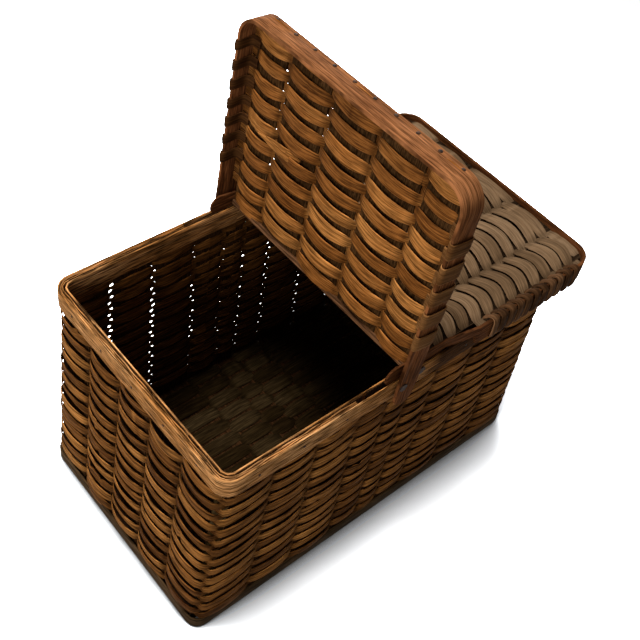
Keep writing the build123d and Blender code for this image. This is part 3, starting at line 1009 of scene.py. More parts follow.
    def _hoop_line(self, ring: RoundedRing, z: float, row: int) -> Guide:
        """Returns the line of a level hoop's middle, from the middle of the back round to it again."""
        start = (ring.corner(1) + ring.corner(2)) / 2
        stations = []
        for k in range(self.HOOP_STEPS + 1):
            x, y, nx, ny = ring.at(start + ring.length * k / self.HOOP_STEPS)
            stations.append(Station((x, y, z), (nx, ny, 0), (0, 0, 1)))
        guide = Guide()
        guide.line(stations, row)
        return guide

    def _shade_rim(self, piece: bpy.types.Object, pale: float, fall: float) -> None:
        """Makes a rim piece pale over the open half and darker by the fall under the shut lid, as painted
        shadow of the lid with darker aged wood.
        """
        shade_from(piece, lambda spot: pale - fall * ease(spot.x, *self.RIM_SHADE_X))

    def bend_hoops(self) -> None:
        """Makes the two rim hoops and the foot band."""
        sizes = self.sizes
        low, high = sizes.height - sizes.hoop_height, sizes.height
        for name, node, inset, thick, row in (
            ("outer_rim", "rim_outer_hoop", 0.0, sizes.outer_hoop_thick, 0),
            ("inner_rim", "rim_inner_hoop", sizes.inner_hoop_inset, sizes.inner_hoop_thick, 2),
        ):
            depth = inset + thick / 2
            ring = RoundedRing(*(h - depth for h in sizes.rim_half), sizes.rim_corner - depth)
            rule = replace(self.hoop_rule, thickness=thick, seed=self.hoop_rule.seed + row)
            guide = self._hoop_line(ring, (low + high) / 2, row)
            piece = self.splints.weave(guide, rule, self.finishes.of("hoop_wood"), name)
            self._shade_rim(piece, 0.62, 1.1)
            join_body(piece, self.BODY, "hoop_wood", node)
        low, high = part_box("base_band")
        tall, half_thick = high.z - low.z, sizes.band_thick / 2
        rule = replace(self.hoop_rule, thickness=sizes.band_thick, out_width=tall, in_width=tall,
                       seam_width=tall, seed=9, wander=0.0)
        ring = RoundedRing(high.x - half_thick, high.y - half_thick, sizes.band_corner)
        guide = self._hoop_line(ring, (low.z + high.z) / 2, 4)
        piece = self.splints.weave(guide, rule, self.finishes.of("base_wood"), "foot_band")
        join_body(piece, self.BODY, "base_wood", "base_band")

    def fill_rim(self) -> None:
        """Lays the thin splints that fill the rim between its hoops, clear of the lids' arms."""
        sizes = self.sizes
        low, high = sizes.height - sizes.filler_low, sizes.height - sizes.filler_high
        tall = high - low
        rule = replace(self.hoop_rule, thickness=sizes.filler_thick, out_width=tall, in_width=tall,
                       seam_width=tall, seed=15, wander=0.0007)
        half_steps, sway_size = 80, 0.0004
        guide = Guide()
        for layer, inset in enumerate(sizes.filler_insets):
            ring = RoundedRing(*(h - inset for h in sizes.rim_half), sizes.rim_corner - inset)
            reach = ring.runs[0] / 2 + ring.arc + ring.half_x - ring.radius - sizes.arms_from
            for end in range(2):
                middle = ring.length * end / 2 + (ring.runs[0] + ring.arc) / 2
                stations = []
                for k in range(2 * half_steps + 1):
                    x, y, nx, ny = ring.at(middle + reach * (k / half_steps - 1))
                    sway = sway_size * math.sin(k * 0.7 + layer * 2.1 + end)
                    place = (x + nx * sway, y + ny * sway, (low + high) / 2)
                    stations.append(Station(place, (nx, ny, 0), (0, 0, 1)))
                guide.line(stations, 6 + 4 * layer + 2 * end)
        piece = self.splints.weave(guide, rule, self.finishes.of("hoop_wood"), "rim_filler")
        self._shade_rim(piece, 0.55, 1.0)
        join_body(piece, self.BODY, "hoop_wood")

    def drive_nails(self, nails: NailTree) -> None:
        """Sets the rim's nail heads."""
        iron = self.finishes.of("nail_iron")
        heads = nails.drive(self._nail_places(), self.NAIL_RADIUS, self.NAIL_HEIGHT, iron, "rim_nails")
        join_body(heads, self.BODY, "nail_iron", "rim_tacks")

    def _nail_places(self) -> list[tuple[Place, Place]]:
        """Returns where the rim's nails sit and face, at the middle of the stakes that they hold."""
        z = self.sizes.height - self.sizes.hoop_height / 2
        half_x, half_y = (half + self.NAIL_CLEAR for half in self.sizes.rim_half)
        places = []
        seams = self.sizes.side_seams(z)
        for low, high in zip(seams, seams[1:]):
            x = (low + high) / 2
            if abs(x) > self.ARMS_HALF:
                places += [((x, s * half_y, z), (0, s, 0)) for s in (-1, 1)]
        seams = self.sizes.end_seams(z)
        for low, high in zip(seams, seams[1:]):
            places += [((s * half_x, (low + high) / 2, z), (s, 0, 0)) for s in (-1, 1)]
        return places

    def dress_stakes(self, frame: dict) -> None:
        """Gives the stakes their wood."""
        for name, node in frame["nodes"].items():
            if name.startswith("side_stake"):
                dress(node, self.finishes.of("stake_splint"))
            elif name.startswith("end_stake"):
                dress(node, self.finishes.of("end_stake_splint"))


def shade_from(piece: bpy.types.Object, tone: Callable[[Vector], float]) -> None:
    """Writes the tone of a swept piece anew from each point's place, and takes the painted seam shade and dirt
    off it.

    Args:
        piece: The piece, which carries the mark attribute.
        tone: Gives 0 for the darkest and 1 for the lightest wood at a place.
    """
    store = piece.data.attributes["mark"].data
    for vertex in piece.data.vertices:
        store[vertex.index].vector = (tone(vertex.co), 1.0, store[vertex.index].vector[2])


def dress(node: bpy.types.Object, finish: bpy.types.Material) -> None:
    """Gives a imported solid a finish, leaving its shape alone."""
    node.data.materials.clear()
    node.data.materials.append(finish)


# Nails

class NailTree:
    """Geometry Nodes tree that sets a small domed nail head on every point of a mesh, facing as it says."""

    LEAST = 0.86
    MOST = 1.12

    def __init__(self) -> None:
        """Builds the tree with its named inputs."""
        self.tree = bpy.data.node_groups.new("nail_heads", "GeometryNodeTree")
        face = self.tree.interface
        face.new_socket("Geometry", in_out="INPUT", socket_type="NodeSocketGeometry")
        face.new_socket("Geometry", in_out="OUTPUT", socket_type="NodeSocketGeometry")
        face.new_socket("Finish", in_out="INPUT", socket_type="NodeSocketMaterial")
        face.new_socket("Radius", in_out="INPUT", socket_type="NodeSocketFloat")
        face.new_socket("Height", in_out="INPUT", socket_type="NodeSocketFloat")
        face.new_socket("Seed", in_out="INPUT", socket_type="NodeSocketInt")
        wires = Wires(self.tree)
        group = self.tree.nodes.new("NodeGroupInput")
        dome = wires.node("GeometryNodeMeshUVSphere", {"Segments": 14, "Rings": 8, "Radius": 1.0})
        size = wires.pack(wires.out(group, "Radius"), wires.out(group, "Radius"), wires.out(group, "Height"))
        given = {2: self.LEAST, 3: self.MOST, 8: wires.out(group, "Seed")}
        uneven = wires.out(wires.node("FunctionNodeRandomValue", given, data_type="FLOAT"), 1)
        given = {"Name": "facing"}
        facing = wires.out(wires.node("GeometryNodeInputNamedAttribute", given, data_type="FLOAT_VECTOR"))
        turn = wires.out(wires.node("FunctionNodeAlignRotationToVector", {"Vector": facing}, axis="Z"))
        given = {"Points": wires.out(group, "Geometry"), "Instance": wires.out(dome), "Rotation": turn,
                 "Scale": wires.scaled(size, uneven)}
        heads = wires.node("GeometryNodeInstanceOnPoints", given)
        smooth = wires.node("GeometryNodeSetShadeSmooth", {"Geometry": wires.out(heads)})
        real = wires.node("GeometryNodeRealizeInstances", {"Geometry": wires.out(smooth)})
        given = {"Geometry": wires.out(real), "Material": wires.out(group, "Finish")}
        coated = wires.node("GeometryNodeSetMaterial", given)
        wires.node("NodeGroupOutput", {"Geometry": wires.out(coated)})

    def drive(self, places: Sequence[tuple[Place, Place]], radius: float, height: float,
              finish: bpy.types.Material, name: str, seed: int = 5) -> bpy.types.Object:
        """Sets nail heads.

        Args:
            places: Where each head sits and the way that it faces.
            radius: Of a head.
            height: Of a head above what it is driven into.
            finish: Their material.
            name: The new object's name.
            seed: For their uneven sizes.

        Returns:
            One plain object with all the heads.
        """
        mesh = bpy.data.meshes.new(name + "_places")
        mesh.from_pydata([place for place, _ in places], [], [])
        store = mesh.attributes.new("facing", "FLOAT_VECTOR", "POINT")
        store.data.foreach_set("vector", [c for _, facing in places for c in facing])
        holder = bpy.data.objects.new(name, mesh)
        bpy.context.scene.collection.objects.link(holder)
        given = {"Finish": finish, "Radius": radius, "Height": height, "Seed": seed}
        return grown(holder, self.tree, given)


# Lids

class LidSide(Enum):
    """Which lid: the left one stands open at rest, the right one lies shut."""

    LEFT = "left"
    RIGHT = "right"


@dataclass(frozen=True)
class LidSizes:
    """Sizes of one lid in its own frame, in metres: s from its pivot, y across, n away from the basket.

    The splints' turns round the band lie between wraps_from and wraps_to. Their pitch is wrap_shares rows, on
    the -y and the +y side, and wrap_tuck is the y where they leave the panel.
    """

    reach: float
    narrow_until: float
    wraps_from: float
    wraps_to: float
    row_pitch: float
    wrap_shares: tuple[float, float]
    wrap_tuck: float
    pivot_x: float = 0.015
    pivot_z: float = 0.273
    open_angle: float = 94.0
    inner_half: float = 0.1472
    outer_half: float = 0.1504
    narrow_half: float = 0.1385
    band_thick: float = 0.0032
    band_drop: float = 0.006
    band_rise: float = 0.020
    corner: float = 0.025
    panel_rise: float = 0.012
    rows_from: float = 0.0158
    row_gap: float = 0.0008
    rib_pitch: float = 0.062
    rim_crossing: tuple[float, float] = (0.194, 0.214)
    rim_run: float = 0.010
    rim_lift: float = 0.0012
    tail: float = 0.06
    ribs: int = 5

    def over_rim(self, s: float) -> float:
        """Returns 1 where the shut lid lies on the basket's end rim, falling to 0 beside it."""
        low, high = self.rim_crossing
        return ease(s, low - self.rim_run, low) * ease(-s, -high - self.rim_run, -high)

    def row_places(self) -> list[float]:
        """Returns the s of each row's middle."""
        end = self.reach - self.band_thick - self.row_gap
        count = round((end - self.rows_from) / self.row_pitch)
        pitch = (end - self.rows_from) / count
        return [self.rows_from + pitch * (k + 0.5) - self.row_gap / 2 for k in range(count)]

    def wrap_places(self, side: int) -> list[float]:
        """Returns the s of each turn round the band on one side, -1 or 1."""
        places = self.row_places()
        pitch = (places[1] - places[0]) * self.wrap_shares[side > 0]
        first = places[0] if side > 0 else places[1]
        spots = (first + pitch * k for k in range(len(places)))
        return [s for s in spots if self.wraps_from <= s <= self.wraps_to]

    def half_at(self, s: float) -> float:
        """Returns the half width inside the band at a distance from the pivot."""
        if s < self.narrow_until:
            return self.narrow_half
        radius = self.corner - self.band_thick
        past = s - (self.reach - self.band_thick - radius)
        if past <= 0:
            return self.inner_half
        return self.inner_half - radius + math.sqrt(max(0.0, radius ** 2 - past ** 2))

    def rib_seams(self) -> list[float]:
        """Returns the y of each seam between ribs, with the narrow part's edges as the outermost ones."""
        inner = [self.rib_pitch * (k - self.ribs / 2) for k in range(1, self.ribs)]
        return [-self.narrow_half, *inner, self.narrow_half]

    def wrap_loop(self) -> list[tuple[float, float]]:
        """Returns y and n of each corner of a turn round the band, from the panel's top to its underside."""
        inner, outer, tuck = self.inner_half, self.outer_half, self.wrap_tuck
        middle = (inner + outer) / 2
        top, low, panel = self.band_rise, -self.band_drop, self.panel_rise
        edge = inner - 0.0020
        over_the_band = [(tuck, panel + 0.0028), (blend_between(tuck, edge, 0.57), panel + 0.0050),
                         (edge, top + 0.0006), (middle, top + 0.0016), (outer + 0.0014, top - 0.0006)]
        down_and_under = [(outer + 0.0022, 0.0100), (outer + 0.0014, low + 0.0008),
                          (middle + 0.0003, low - 0.0014), (inner - 0.0004, low + 0.0010)]
        back_up_inside = [(inner - 0.0009, 0.0010), (inner - 0.0011, 0.0066),
                          (inner - 0.0034, panel - 0.0024), (tuck + 0.0010, panel - 0.0016)]
        return over_the_band + down_and_under + back_up_inside


@dataclass
class Lid:
    """One lid: band, rail, ribs, weave, wraps and tacks."""

    TURN_POINTS = 6
    STATION_PITCH = 0.004
    NAIL_RADIUS = 0.0021
    NAIL_HEIGHT = 0.0009
    EDGE_ROUNDING = 0.0006
    # Two slivers of the torn splint: s, y, n and the share of the full width at each of their points
    TORN_SLIVERS = (
        ((0.1232, 0.054, 0.0110, 0.80), (0.1244, 0.068, 0.0064, 0.95), (0.1260, 0.082, 0.0040, 0.90),
         (0.1274, 0.092, 0.0024, 0.62), (0.1289, 0.099, 0.0006, 0.34), (0.1304, 0.106, -0.0014, 0.05)),
        ((0.1284, 0.058, 0.0110, 0.45), (0.1304, 0.074, 0.0046, 0.45), (0.1322, 0.085, 0.0022, 0.30),
         (0.1340, 0.0935, -0.0012, 0.05)),
    )

    side: LidSide
    sizes: LidSizes
    finishes: Finishes
    splints: SplintTree
    nails: NailTree
    panel_rule: WeaveRule
    wrap_rule: WeaveRule

    @property
    def body(self) -> str:
        """The CAD body that the lid's pieces ride on."""
        return f"{self.side.value}_lid"

    def at(self, s: float, y: float, n: float) -> Place:
        """Returns a point of the lid's frame in the basket's frame, as the lid is at rest."""
        ds, dy, dn = self.turn(s, y, n)
        x = -self.sizes.pivot_x if self.side is LidSide.LEFT else self.sizes.pivot_x
        return x + ds, dy, self.sizes.pivot_z + dn

    def turn(self, s: float, y: float, n: float) -> Place:
        """Returns a direction of the lid's frame in the basket's frame."""
        if self.side is LidSide.RIGHT:
            return s, y, n
        angle = math.radians(self.sizes.open_angle)
        return -s * math.cos(angle) + n * math.sin(angle), y, s * math.sin(angle) + n * math.cos(angle)

    def _room(self, s: float, y: float) -> float:
        """Returns how much puff and bow a lid splint may have, little near its band and its hinge."""
        sizes = self.sizes
        room = ease(-s, 0.008 - sizes.reach, 0.034 - sizes.reach) * ease(s, -0.005, 0.040)
        room *= 1.0 - 0.3 * sizes.over_rim(s)
        return blend_between(0.25, 1.0, room) if abs(y) < sizes.narrow_half else 0.2

    def panel_lines(self) -> Guide:
        """Returns the rows' centre lines across the ribs."""
        sizes = self.sizes
        guide = Guide()
        out, across = self.turn(0, 0, 1), self.turn(1, 0, 0)
        seams = sizes.rib_seams()
        clear, least_part = 0.0006, 0.0005
        for k, s in enumerate(sizes.row_places()):
            half = min(sizes.half_at(s), sizes.half_at(s + self.STATION_PITCH)) - clear
            inner = [(y, float(turn)) for turn, y in enumerate(seams) if abs(y) < half - least_part]
            marks = [(-half, 0.0), *inner, (half, float(sizes.ribs))]
            rise = sizes.panel_rise + sizes.rim_lift * sizes.over_rim(s)
            stations = []
            for (low, low_turn), (high, high_turn) in zip(marks, marks[1:]):
                parts = max(1, round((high - low) / self.STATION_PITCH))
                for part in range(parts + (high == half)):
                    y = blend_between(low, high, part / parts)
                    turn = blend_between(low_turn, high_turn, part / parts)
                    rib = min(math.floor(turn), sizes.ribs - 1)
                    span = seams[rib + 1] - seams[rib]
                    stations.append(Station(self.at(s, y, rise), out, across, turn, span, self._room(s, y)))
            guide.line(stations, k + 1)
        return guide

    def wrap_lines(self) -> Guide:
        """Returns the centre lines of the splints' turns round the two sides of the band.

        The turn number is half a turn either side of 1, so that the rule's out width shapes the -y side and
        its in width the +y side.
        """
        sizes = self.sizes
        guide = Guide()
        slant = sizes.row_places()[1] - sizes.row_places()[0]
        path = self._rounded(sizes.wrap_loop())
        across = self.turn(1, 0, 0)
        rows_of_one_side = 40
        for side in (-1, 1):
            for k, s in enumerate(sizes.wrap_places(side)):
                stations = []
                for part, (y, n, out_y, out_n) in enumerate(path):
                    place = self.at(s + slant * part / (len(path) - 1), side * y, n)
                    out = self.turn(0, side * out_y, out_n)
                    stations.append(Station(place, out, across, 1.0 + side * 0.5))
                guide.line(stations, 2 * (k + rows_of_one_side * (side > 0)))
        return guide

    def _rounded(self, corners: list[tuple[float, float]]) -> list[tuple[float, float, float, float]]:
        """Rounds a run of corners off with splines.

        Args:
            corners: The y and n of each corner.

        Returns:
            y and n of points along it, and y and n of the outward direction at each.
        """
        count = len(corners)
        points = []
        for k in range(count - 1):
            ring = [Vector(corners[min(count - 1, max(0, k + d))]) for d in (-1, 0, 1, 2)]
            for part in range(self.TURN_POINTS + (k == count - 2)):
                t = part / self.TURN_POINTS
                points.append(0.5 * (2 * ring[1] + (ring[2] - ring[0]) * t
                                     + (2 * ring[0] - 5 * ring[1] + 4 * ring[2] - ring[3]) * t * t
                                     + (3 * ring[1] - ring[0] - 3 * ring[2] + ring[3]) * t ** 3))
        result = []
        for k, point in enumerate(points):
            ahead = (points[min(len(points) - 1, k + 1)] - points[max(0, k - 1)]).normalized()
            result.append((point.x, point.y, -ahead.y, ahead.x))
        return result

    def weave_panel(self) -> None:
        """Makes the woven panel and its turns round the band."""
        state = "open" if self.side is LidSide.LEFT else "shut"
        slot = f"{state}_lid_splint"
        panel = self.splints.weave(self.panel_lines(), self.panel_rule, self.finishes.of(slot),
                                   f"{self.body}_panel")
        join_body(panel, self.body, slot, f"{self.body}_weavers")
        wraps = self.splints.weave(self.wrap_lines(), self.wrap_rule,
                                   self.finishes.of(f"{state}_wrap_splint"), f"{self.body}_wraps")
        if self.side is LidSide.LEFT:
            # Painted shade darkens the open lid's wraps on the far side
            shade_from(wraps, self._left_wrap_tone)
        join_body(wraps, self.body, slot)

    @staticmethod
    def _left_wrap_tone(spot: Vector) -> float:
        """Returns the tone of the open lid's wraps: dark as painted shade on the far side, pale and banded on
        the near one.
        """
        return -0.15 if spot.y > 0 else 0.78 + 0.22 * math.sin(spot.z * 190)

    def tear_splint(self) -> None:
        """Lays the torn end of one splint over the underside, as two slivers that bend away from it."""
        rule = WeaveRule(swing=0.0, seam_width=0.0125, thickness=0.0010, jitter=0.0, wander=0.0002,
                         step=0.002, seed=51)
        out, across = self.turn(0, 0, -1), self.turn(1, 0, 0)
        guide = Guide()
        for row, sliver in enumerate(self.TORN_SLIVERS):
            stations = [Station(self.at(s, y, n), out, across, 0.0, pinch=share) for s, y, n, share in sliver]
            guide.line(stations, 2 * row + 2)
        finish = self.finishes.of("open_lid_splint")
        piece = self.splints.weave(guide, rule, finish, f"{self.body}_torn_end")
        shade_from(piece, lambda spot: 0.9)
        join_body(piece, self.body, "open_lid_splint")

    def band_path(self) -> list[tuple[float, float]]:
        """Returns the middle line of the band in plan, from one tail round the free end to the other."""
        sizes = self.sizes
        middle = (sizes.inner_half + sizes.outer_half) / 2
        end, radius = sizes.reach - sizes.band_thick / 2, sizes.corner - sizes.band_thick / 2
        path = [(-sizes.tail, -middle)]
        bends = 8
        for k in range(bends + 1):
            angle = math.radians(-90 + 90 * k / bends)
            s = end - radius + radius * math.cos(angle)
            path.append((s, -middle + radius + radius * math.sin(angle)))
        return path + [(s, -y) for s, y in reversed(path)]

    def _band_tone(self, end: float) -> float:
        """Returns the tone of the band at a distance walked from its nearer tail, pale round the free end."""
        if self.side is LidSide.RIGHT:
            return 0.22
        return 0.82 * ease(end, 0.25, 0.30) + 0.30 * ease(-end, -0.30, -0.25)

    def dress_band(self) -> None:
        """Replaces the band by the same form with softened edges and a grain that follows its bends."""
        piece = softened(f"{self.body}_band", self.EDGE_ROUNDING)
        piece.name = piece.data.name = f"{self.body}_frame"
        walk = Walk([Vector(self.turn(s, y, 0)) for s, y in self.band_path()])
        base, normal = Vector(self.at(0, 0, 0)), Vector(self.turn(0, 0, 1))
        chance = 3.0 if self.side is LidSide.LEFT else 8.0
        grain, marks = [], []
        for vertex in piece.data.vertices:
            spot = vertex.co - base
            rise = spot.dot(normal)
            walked, away = walk.nearest(spot - normal * rise)
            grain.extend((walked, rise + away * 0.8, chance))
            marks.extend((self._band_tone(min(walked, walk.length - walked)), 1.0, 0.0))
        for name, values in (("grain", grain), ("mark", marks)):
            store = piece.data.attributes.new(name, "FLOAT_VECTOR", "POINT")
            store.data.foreach_set("vector", values)
        dress(piece, self.finishes.of("lid_band_wood"))
        join_body(piece, self.body, "lid_band_wood", f"{self.body}_band")

    def drive_tacks(self, count: int = 10) -> None:
        """Sets the nail heads along the free end."""
        sizes = self.sizes
        span = 2 * (sizes.inner_half - sizes.corner)
        clear, below_top = 0.0001, 0.0045
        facing = self.turn(1, 0, 0)
        places = []
        for k in range(count):
            y = -span / 2 + span * k / (count - 1)
            places.append((self.at(sizes.reach + clear, y, sizes.band_rise - below_top), facing))
        seed = 5 if self.side is LidSide.LEFT else 6
        iron = self.finishes.of("nail_iron")
        piece = self.nails.drive(places, self.NAIL_RADIUS, self.NAIL_HEIGHT, iron, f"{self.body}_nails", seed)
        join_body(piece, self.body, "nail_iron", f"{self.body}_tacks")

    def dress_sticks(self, frame: dict) -> None:
        """Gives the rail and the ribs their wood."""
        ribs = "rib_splint" if self.side is LidSide.LEFT else "shut_rib_splint"
        dress(frame["nodes"][f"{self.body}_ribs"], self.finishes.of(ribs))
        dress(frame["nodes"][f"{self.body}_rail"], self.finishes.of("rail_wood"))


class Walk:
    """A run of straight steps with the distance walked along it."""

    def __init__(self, points: list[Vector]) -> None:
        """Keeps the steps and where each begins."""
        self.steps = list(zip(points, points[1:]))
        self.starts = [0.0]
        for a, b in self.steps:
            self.starts.append(self.starts[-1] + (b - a).length)
        self.length = self.starts[-1]

    def nearest(self, spot: Vector) -> tuple[float, float]:
        """Finds the nearest point of the run.

        Args:
            spot: A place beside it.

        Returns:
            The distance walked to that point, and how far the place is from it.
        """
        found = []
        for start, (a, b) in zip(self.starts, self.steps):
            along = b - a
            share = min(1.0, max(0.0, (spot - a).dot(along) / along.length_squared))
            found.append(((spot - a - along * share).length, start + share * along.length))
        away, walked = min(found, key=lambda pair: pair[0])
        return walked, away


def softened(node: str, width: float) -> bpy.types.Object:
    """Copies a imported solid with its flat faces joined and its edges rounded.

    Args:
        node: The solid's name.
        width: Of the rounding.

    Returns:
        A plain object at the origin.
    """
    flat_angle, edge_angle, sharp_angle = (math.radians(degrees) for degrees in (0.6, 32, 28))
    mesh = bpy.data.objects[node].data.copy()
    shell = bmesh.new()
    shell.from_mesh(mesh)
    bmesh.ops.remove_doubles(shell, verts=shell.verts, dist=1e-6)
    bmesh.ops.dissolve_limit(shell, angle_limit=flat_angle, verts=shell.verts, edges=shell.edges)
    for face in shell.faces:
        face.smooth = False
    shell.to_mesh(mesh)
    shell.free()
    holder = bpy.data.objects.new(node + "_soft", mesh)
    bpy.context.scene.collection.objects.link(holder)
    bevel = holder.modifiers.new("edges", "BEVEL")
    bevel.width = width
    bevel.segments = 2
    bevel.limit_method = "ANGLE"
    bevel.angle_limit = edge_angle
    bevel.harden_normals = False
    piece = settle(holder, node + "_soft")
    for face in piece.data.polygons:
        face.use_smooth = True
    piece.data.set_sharp_from_angle(angle=sharp_angle)
    return piece


# Studio

@dataclass(frozen=True)
class Lamp:
    """One soft square lamp."""

    name: str
    place: Place
    power: float
    size: float
    colour: Colour = (1.0, 1.0, 1.0)

    def build(self, target: Place) -> None:
        """Hangs the lamp so that it faces the target."""
        light = bpy.data.lights.new(self.name, "AREA")
        light.energy, light.size, light.color = self.power, self.size, self.colour
        holder = bpy.data.objects.new(self.name, light)
        holder.location = self.place
        holder.rotation_euler = (Vector(target) - Vector(self.place)).to_track_quat("-Z", "Y").to_euler()
        bpy.context.scene.collection.objects.link(holder)


@dataclass(frozen=True)
class Viewpoint:
    """Where the camera stands, from its target: degrees round and up, its roll, distance and focal length."""

    azimuth: float = -48.371
    elevation: float = 48.574
    roll: float = 11.05
    distance: float = 1.217038
    target: Place = (0.073795, 0.050338, 0.120)
    focal_pixels: float = 1003.604
    image_pixels: int = 640
    sensor_width: float = 36.0

    def build(self) -> None:
        """Sets up the camera."""
        az, el, roll = (math.radians(v) for v in (self.azimuth, self.elevation, self.roll))
        back = Vector((math.sin(az) * math.cos(el), -math.cos(az) * math.cos(el), math.sin(el)))
        right = Vector((0, 0, 1)).cross(back).normalized()
        up = back.cross(right)
        cosine, sine = math.cos(roll), math.sin(roll)
        right, up = right * cosine + up * sine, up * cosine - right * sine
        data = bpy.data.cameras.new("camera")
        data.sensor_width = self.sensor_width
        data.lens = self.sensor_width * self.focal_pixels / self.image_pixels
        data.clip_start, data.clip_end = 0.05, 30.0
        camera = bpy.data.objects.new("camera", data)
        camera.matrix_world = Matrix((right, up, back)).transposed().to_4x4()
        camera.location = Vector(self.target) + back * self.distance
        bpy.context.scene.collection.objects.link(camera)
        bpy.context.scene.camera = camera


@dataclass(frozen=True)
class Studio:
    """Pale floor, white surroundings and plain soft light.

    The floor lights the object as a plain pale one does. To the eye it is whiter, darkens where something is
    close above it, and turns to plain white from far_from to far_to.
    """

    floor_size: float = 6.0
    floor_colour: float = 0.55
    floor_seen: float = 5.5
    floor_tint: Colour = (0.95, 1.0, 1.06)
    contact_reach: float = 0.10
    contact_rays: int = 64
    contact_range: tuple[float, float] = (0.48, 1.0)
    contact_dark: float = 0.03
    far_from: float = 0.65
    far_to: float = 1.30
    floor_glow: float = 0.02
    mirrored_glow: float = 0.4
    world_strength: float = 0.14
    lamp_target: Place = (0.0, 0.0, 0.15)
    lamps: tuple[Lamp, ...] = (
        Lamp("key_lamp", (-0.32, 0.34, 2.1), 43.0, 0.6, (1.0, 0.98, 0.95)),
        Lamp("side_lamp", (-1.9, -0.40, 0.90), 33.0, 1.1, (1.0, 0.97, 0.93)),
        Lamp("back_lamp", (1.7, 1.7, 0.75), 36.0, 1.1, (1.0, 0.98, 0.96)),
    )

    def build(self) -> None:
        """Sets up floor, world, lamps and colour management."""
        mesh = bpy.data.meshes.new("floor")
        half = self.floor_size / 2
        corners = [(-half, -half, 0), (half, -half, 0), (half, half, 0), (-half, half, 0)]
        mesh.from_pydata(corners, [], [(0, 1, 2, 3)])
        floor = bpy.data.objects.new("floor", mesh)
        bpy.context.scene.collection.objects.link(floor)
        mesh.materials.append(self._floor_finish())
        world = bpy.data.worlds.new("surroundings")
        bpy.context.scene.world = world
        world.use_nodes = True
        wires = Wires(world.node_tree)
        background = world.node_tree.nodes["Background"]
        background.inputs["Color"].default_value = (1.0, 1.0, 1.0, 1.0)
        seen = self._plainly_seen(wires)
        strength = wires.mixed(seen, self.world_strength, 1.0)
        world.node_tree.links.new(strength.socket, background.inputs["Strength"])
        for lamp in self.lamps:
            lamp.build(self.lamp_target)
        bpy.context.scene.view_settings.view_transform = "Standard"

    @staticmethod
    def _plainly_seen(wires: Wires) -> Field:
        """Returns 1 where the eye, a reflection or a view through glass meets the surface."""
        path = wires.node("ShaderNodeLightPath")
        seen = wires.out(path, "Is Camera Ray").apply("MAXIMUM", wires.out(path, "Is Glossy Ray"))
        return seen.apply("MAXIMUM", wires.out(path, "Is Transmission Ray"))

    def _seen_floor(self, wires: Wires) -> Field:
        """Returns the shader that the eye sees: white, with a contact shadow, and plain white far away."""
        nearby = wires.node("ShaderNodeAmbientOcclusion", {"Distance": self.contact_reach},
                            samples=self.contact_rays)
        level = wires.spread(wires.out(nearby, "AO"), *self.contact_range, self.contact_dark, 1.0)
        level = level * self.floor_seen
        colour = wires.pack(*(level * share for share in self.floor_tint))
        white = wires.node("ShaderNodeBsdfDiffuse", {"Color": colour})
        glow = wires.node("ShaderNodeEmission", {"Strength": self.floor_glow})
        close = wires.node("ShaderNodeAddShader", {0: wires.out(white), 1: wires.out(glow)})
        spot = wires.out(wires.node("ShaderNodeTexCoord"), "Object")
        away = wires.out(wires.node("ShaderNodeVectorMath", {0: spot}, operation="LENGTH"), "Value")
        far = wires.spread(away, self.far_from, self.far_to, 0.0, 1.0)
        plain = wires.node("ShaderNodeEmission", {"Strength": 1.0})
        given = {0: far, 1: wires.out(close), 2: wires.out(plain)}
        return wires.out(wires.node("ShaderNodeMixShader", given))

    def _floor_finish(self) -> bpy.types.Material:
        """Makes the floor's finish, plain white to the eye but for the shadow on it."""
        material = bpy.data.materials.new("floor_look")
        material.use_nodes = True
        wires = Wires(material.node_tree)
        nodes = material.node_tree.nodes
        nodes.remove(nodes["Principled BSDF"])
        pale = wires.node("ShaderNodeBsdfDiffuse", {"Color": (self.floor_colour,) * 3 + (1.0,)})
        shown = self._seen_floor(wires)
        haze = wires.node("ShaderNodeEmission", {"Strength": self.mirrored_glow})
        mirrored = wires.node("ShaderNodeAddShader", {0: wires.out(pale), 1: wires.out(haze)})
        given = {0: self._plainly_seen(wires), 1: wires.out(pale), 2: wires.out(mirrored)}
        indirect = wires.node("ShaderNodeMixShader", given)
        to_camera = wires.out(wires.node("ShaderNodeLightPath"), "Is Camera Ray")
        mixed = wires.node("ShaderNodeMixShader", {0: to_camera, 1: wires.out(indirect), 2: shown})
        wires.tree.links.new(mixed.outputs[0], nodes["Material Output"].inputs["Surface"])
        return material


# Main

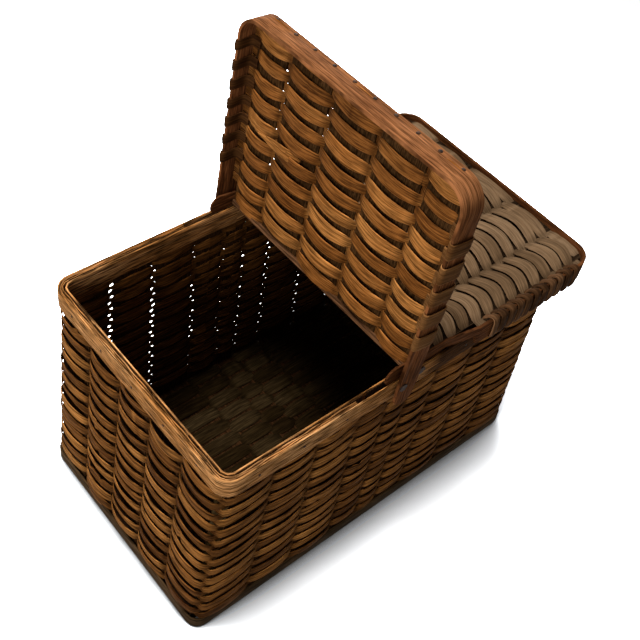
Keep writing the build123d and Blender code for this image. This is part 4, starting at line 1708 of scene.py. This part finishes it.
def open_lid(finishes: Finishes, splints: SplintTree, nails: NailTree) -> Lid:
    """Returns the left lid, with its sizes and the way that it is woven."""
    sizes = LidSizes(reach=0.242, narrow_until=0.040, wraps_from=0.052, wraps_to=0.204, row_pitch=0.011,
                     wrap_shares=(2.6, 2.0), wrap_tuck=0.1330)
    panel = WeaveRule(
        swing=0.0014, puff_out=0.0032, puff_in=0.0028, seam_width=0.0099, out_width=0.0196, in_width=0.0166,
        thickness=0.0013, bow_out=0.0060, bow_in=-0.0030, jitter=0.3, wander=0.0007, lean=0.0006, spread=0.4,
        seed=41,
    )
    wraps = WeaveRule(
        swing=0.0, out_width=0.0190, in_width=0.0128, seam_width=0.0140, jitter=0.4, wander=0.0010,
        thickness=0.0012, crown=0.0002, tilt=0.0002, lean=0.0002, step=0.0025, seed=31,
    )
    return Lid(LidSide.LEFT, sizes, finishes, splints, nails, panel, wraps)


def shut_lid(finishes: Finishes, splints: SplintTree, nails: NailTree) -> Lid:
    """Returns the right lid, with its sizes and the way that it is woven."""
    sizes = LidSizes(reach=0.258, narrow_until=0.075, wraps_from=0.082, wraps_to=0.232, row_pitch=0.009,
                     wrap_shares=(1.4, 1.4), wrap_tuck=0.1395)
    panel = WeaveRule(
        swing=0.0014, puff_out=0.0030, puff_in=0.0026, seam_width=0.0106, out_width=0.0173, in_width=0.0115,
        thickness=0.0015, bow_out=0.0078, bow_in=-0.0014, jitter=0.12, wander=0.0004, lean=0.0004,
        tilt=-0.0008, spread=0.4, seed=43,
    )
    wraps = WeaveRule(
        swing=0.0, out_width=0.0091, in_width=0.0091, seam_width=0.0091, jitter=0.4, wander=0.0007,
        thickness=0.0015, crown=0.0009, tilt=0.0002, lean=0.0002, step=0.0025, seed=33,
    )
    return Lid(LidSide.RIGHT, sizes, finishes, splints, nails, panel, wraps)


def main() -> None:
    """Builds the basket's looks from its sub-assemblies and sets the studio."""
    logging.basicConfig(level=logging.INFO, format="%(name)s: %(message)s")
    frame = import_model()
    Studio().build()
    Viewpoint().build()
    finishes, splints, nails = Finishes(), SplintTree(), NailTree()
    body = BasketBody(BasketSizes(), finishes, splints)
    body.weave_walls()
    body.weave_floor()
    body.bend_hoops()
    body.fill_rim()
    body.dress_stakes(frame)
    body.drive_nails(nails)
    dress(frame["nodes"]["hinge_pins"], finishes.of("nail_iron"))
    lids = open_lid(finishes, splints, nails), shut_lid(finishes, splints, nails)
    for lid in lids:
        lid.weave_panel()
        lid.dress_band()
        lid.drive_tacks()
        lid.dress_sticks(frame)
    lids[0].tear_splint()


if __name__ == "__main__":
    main()
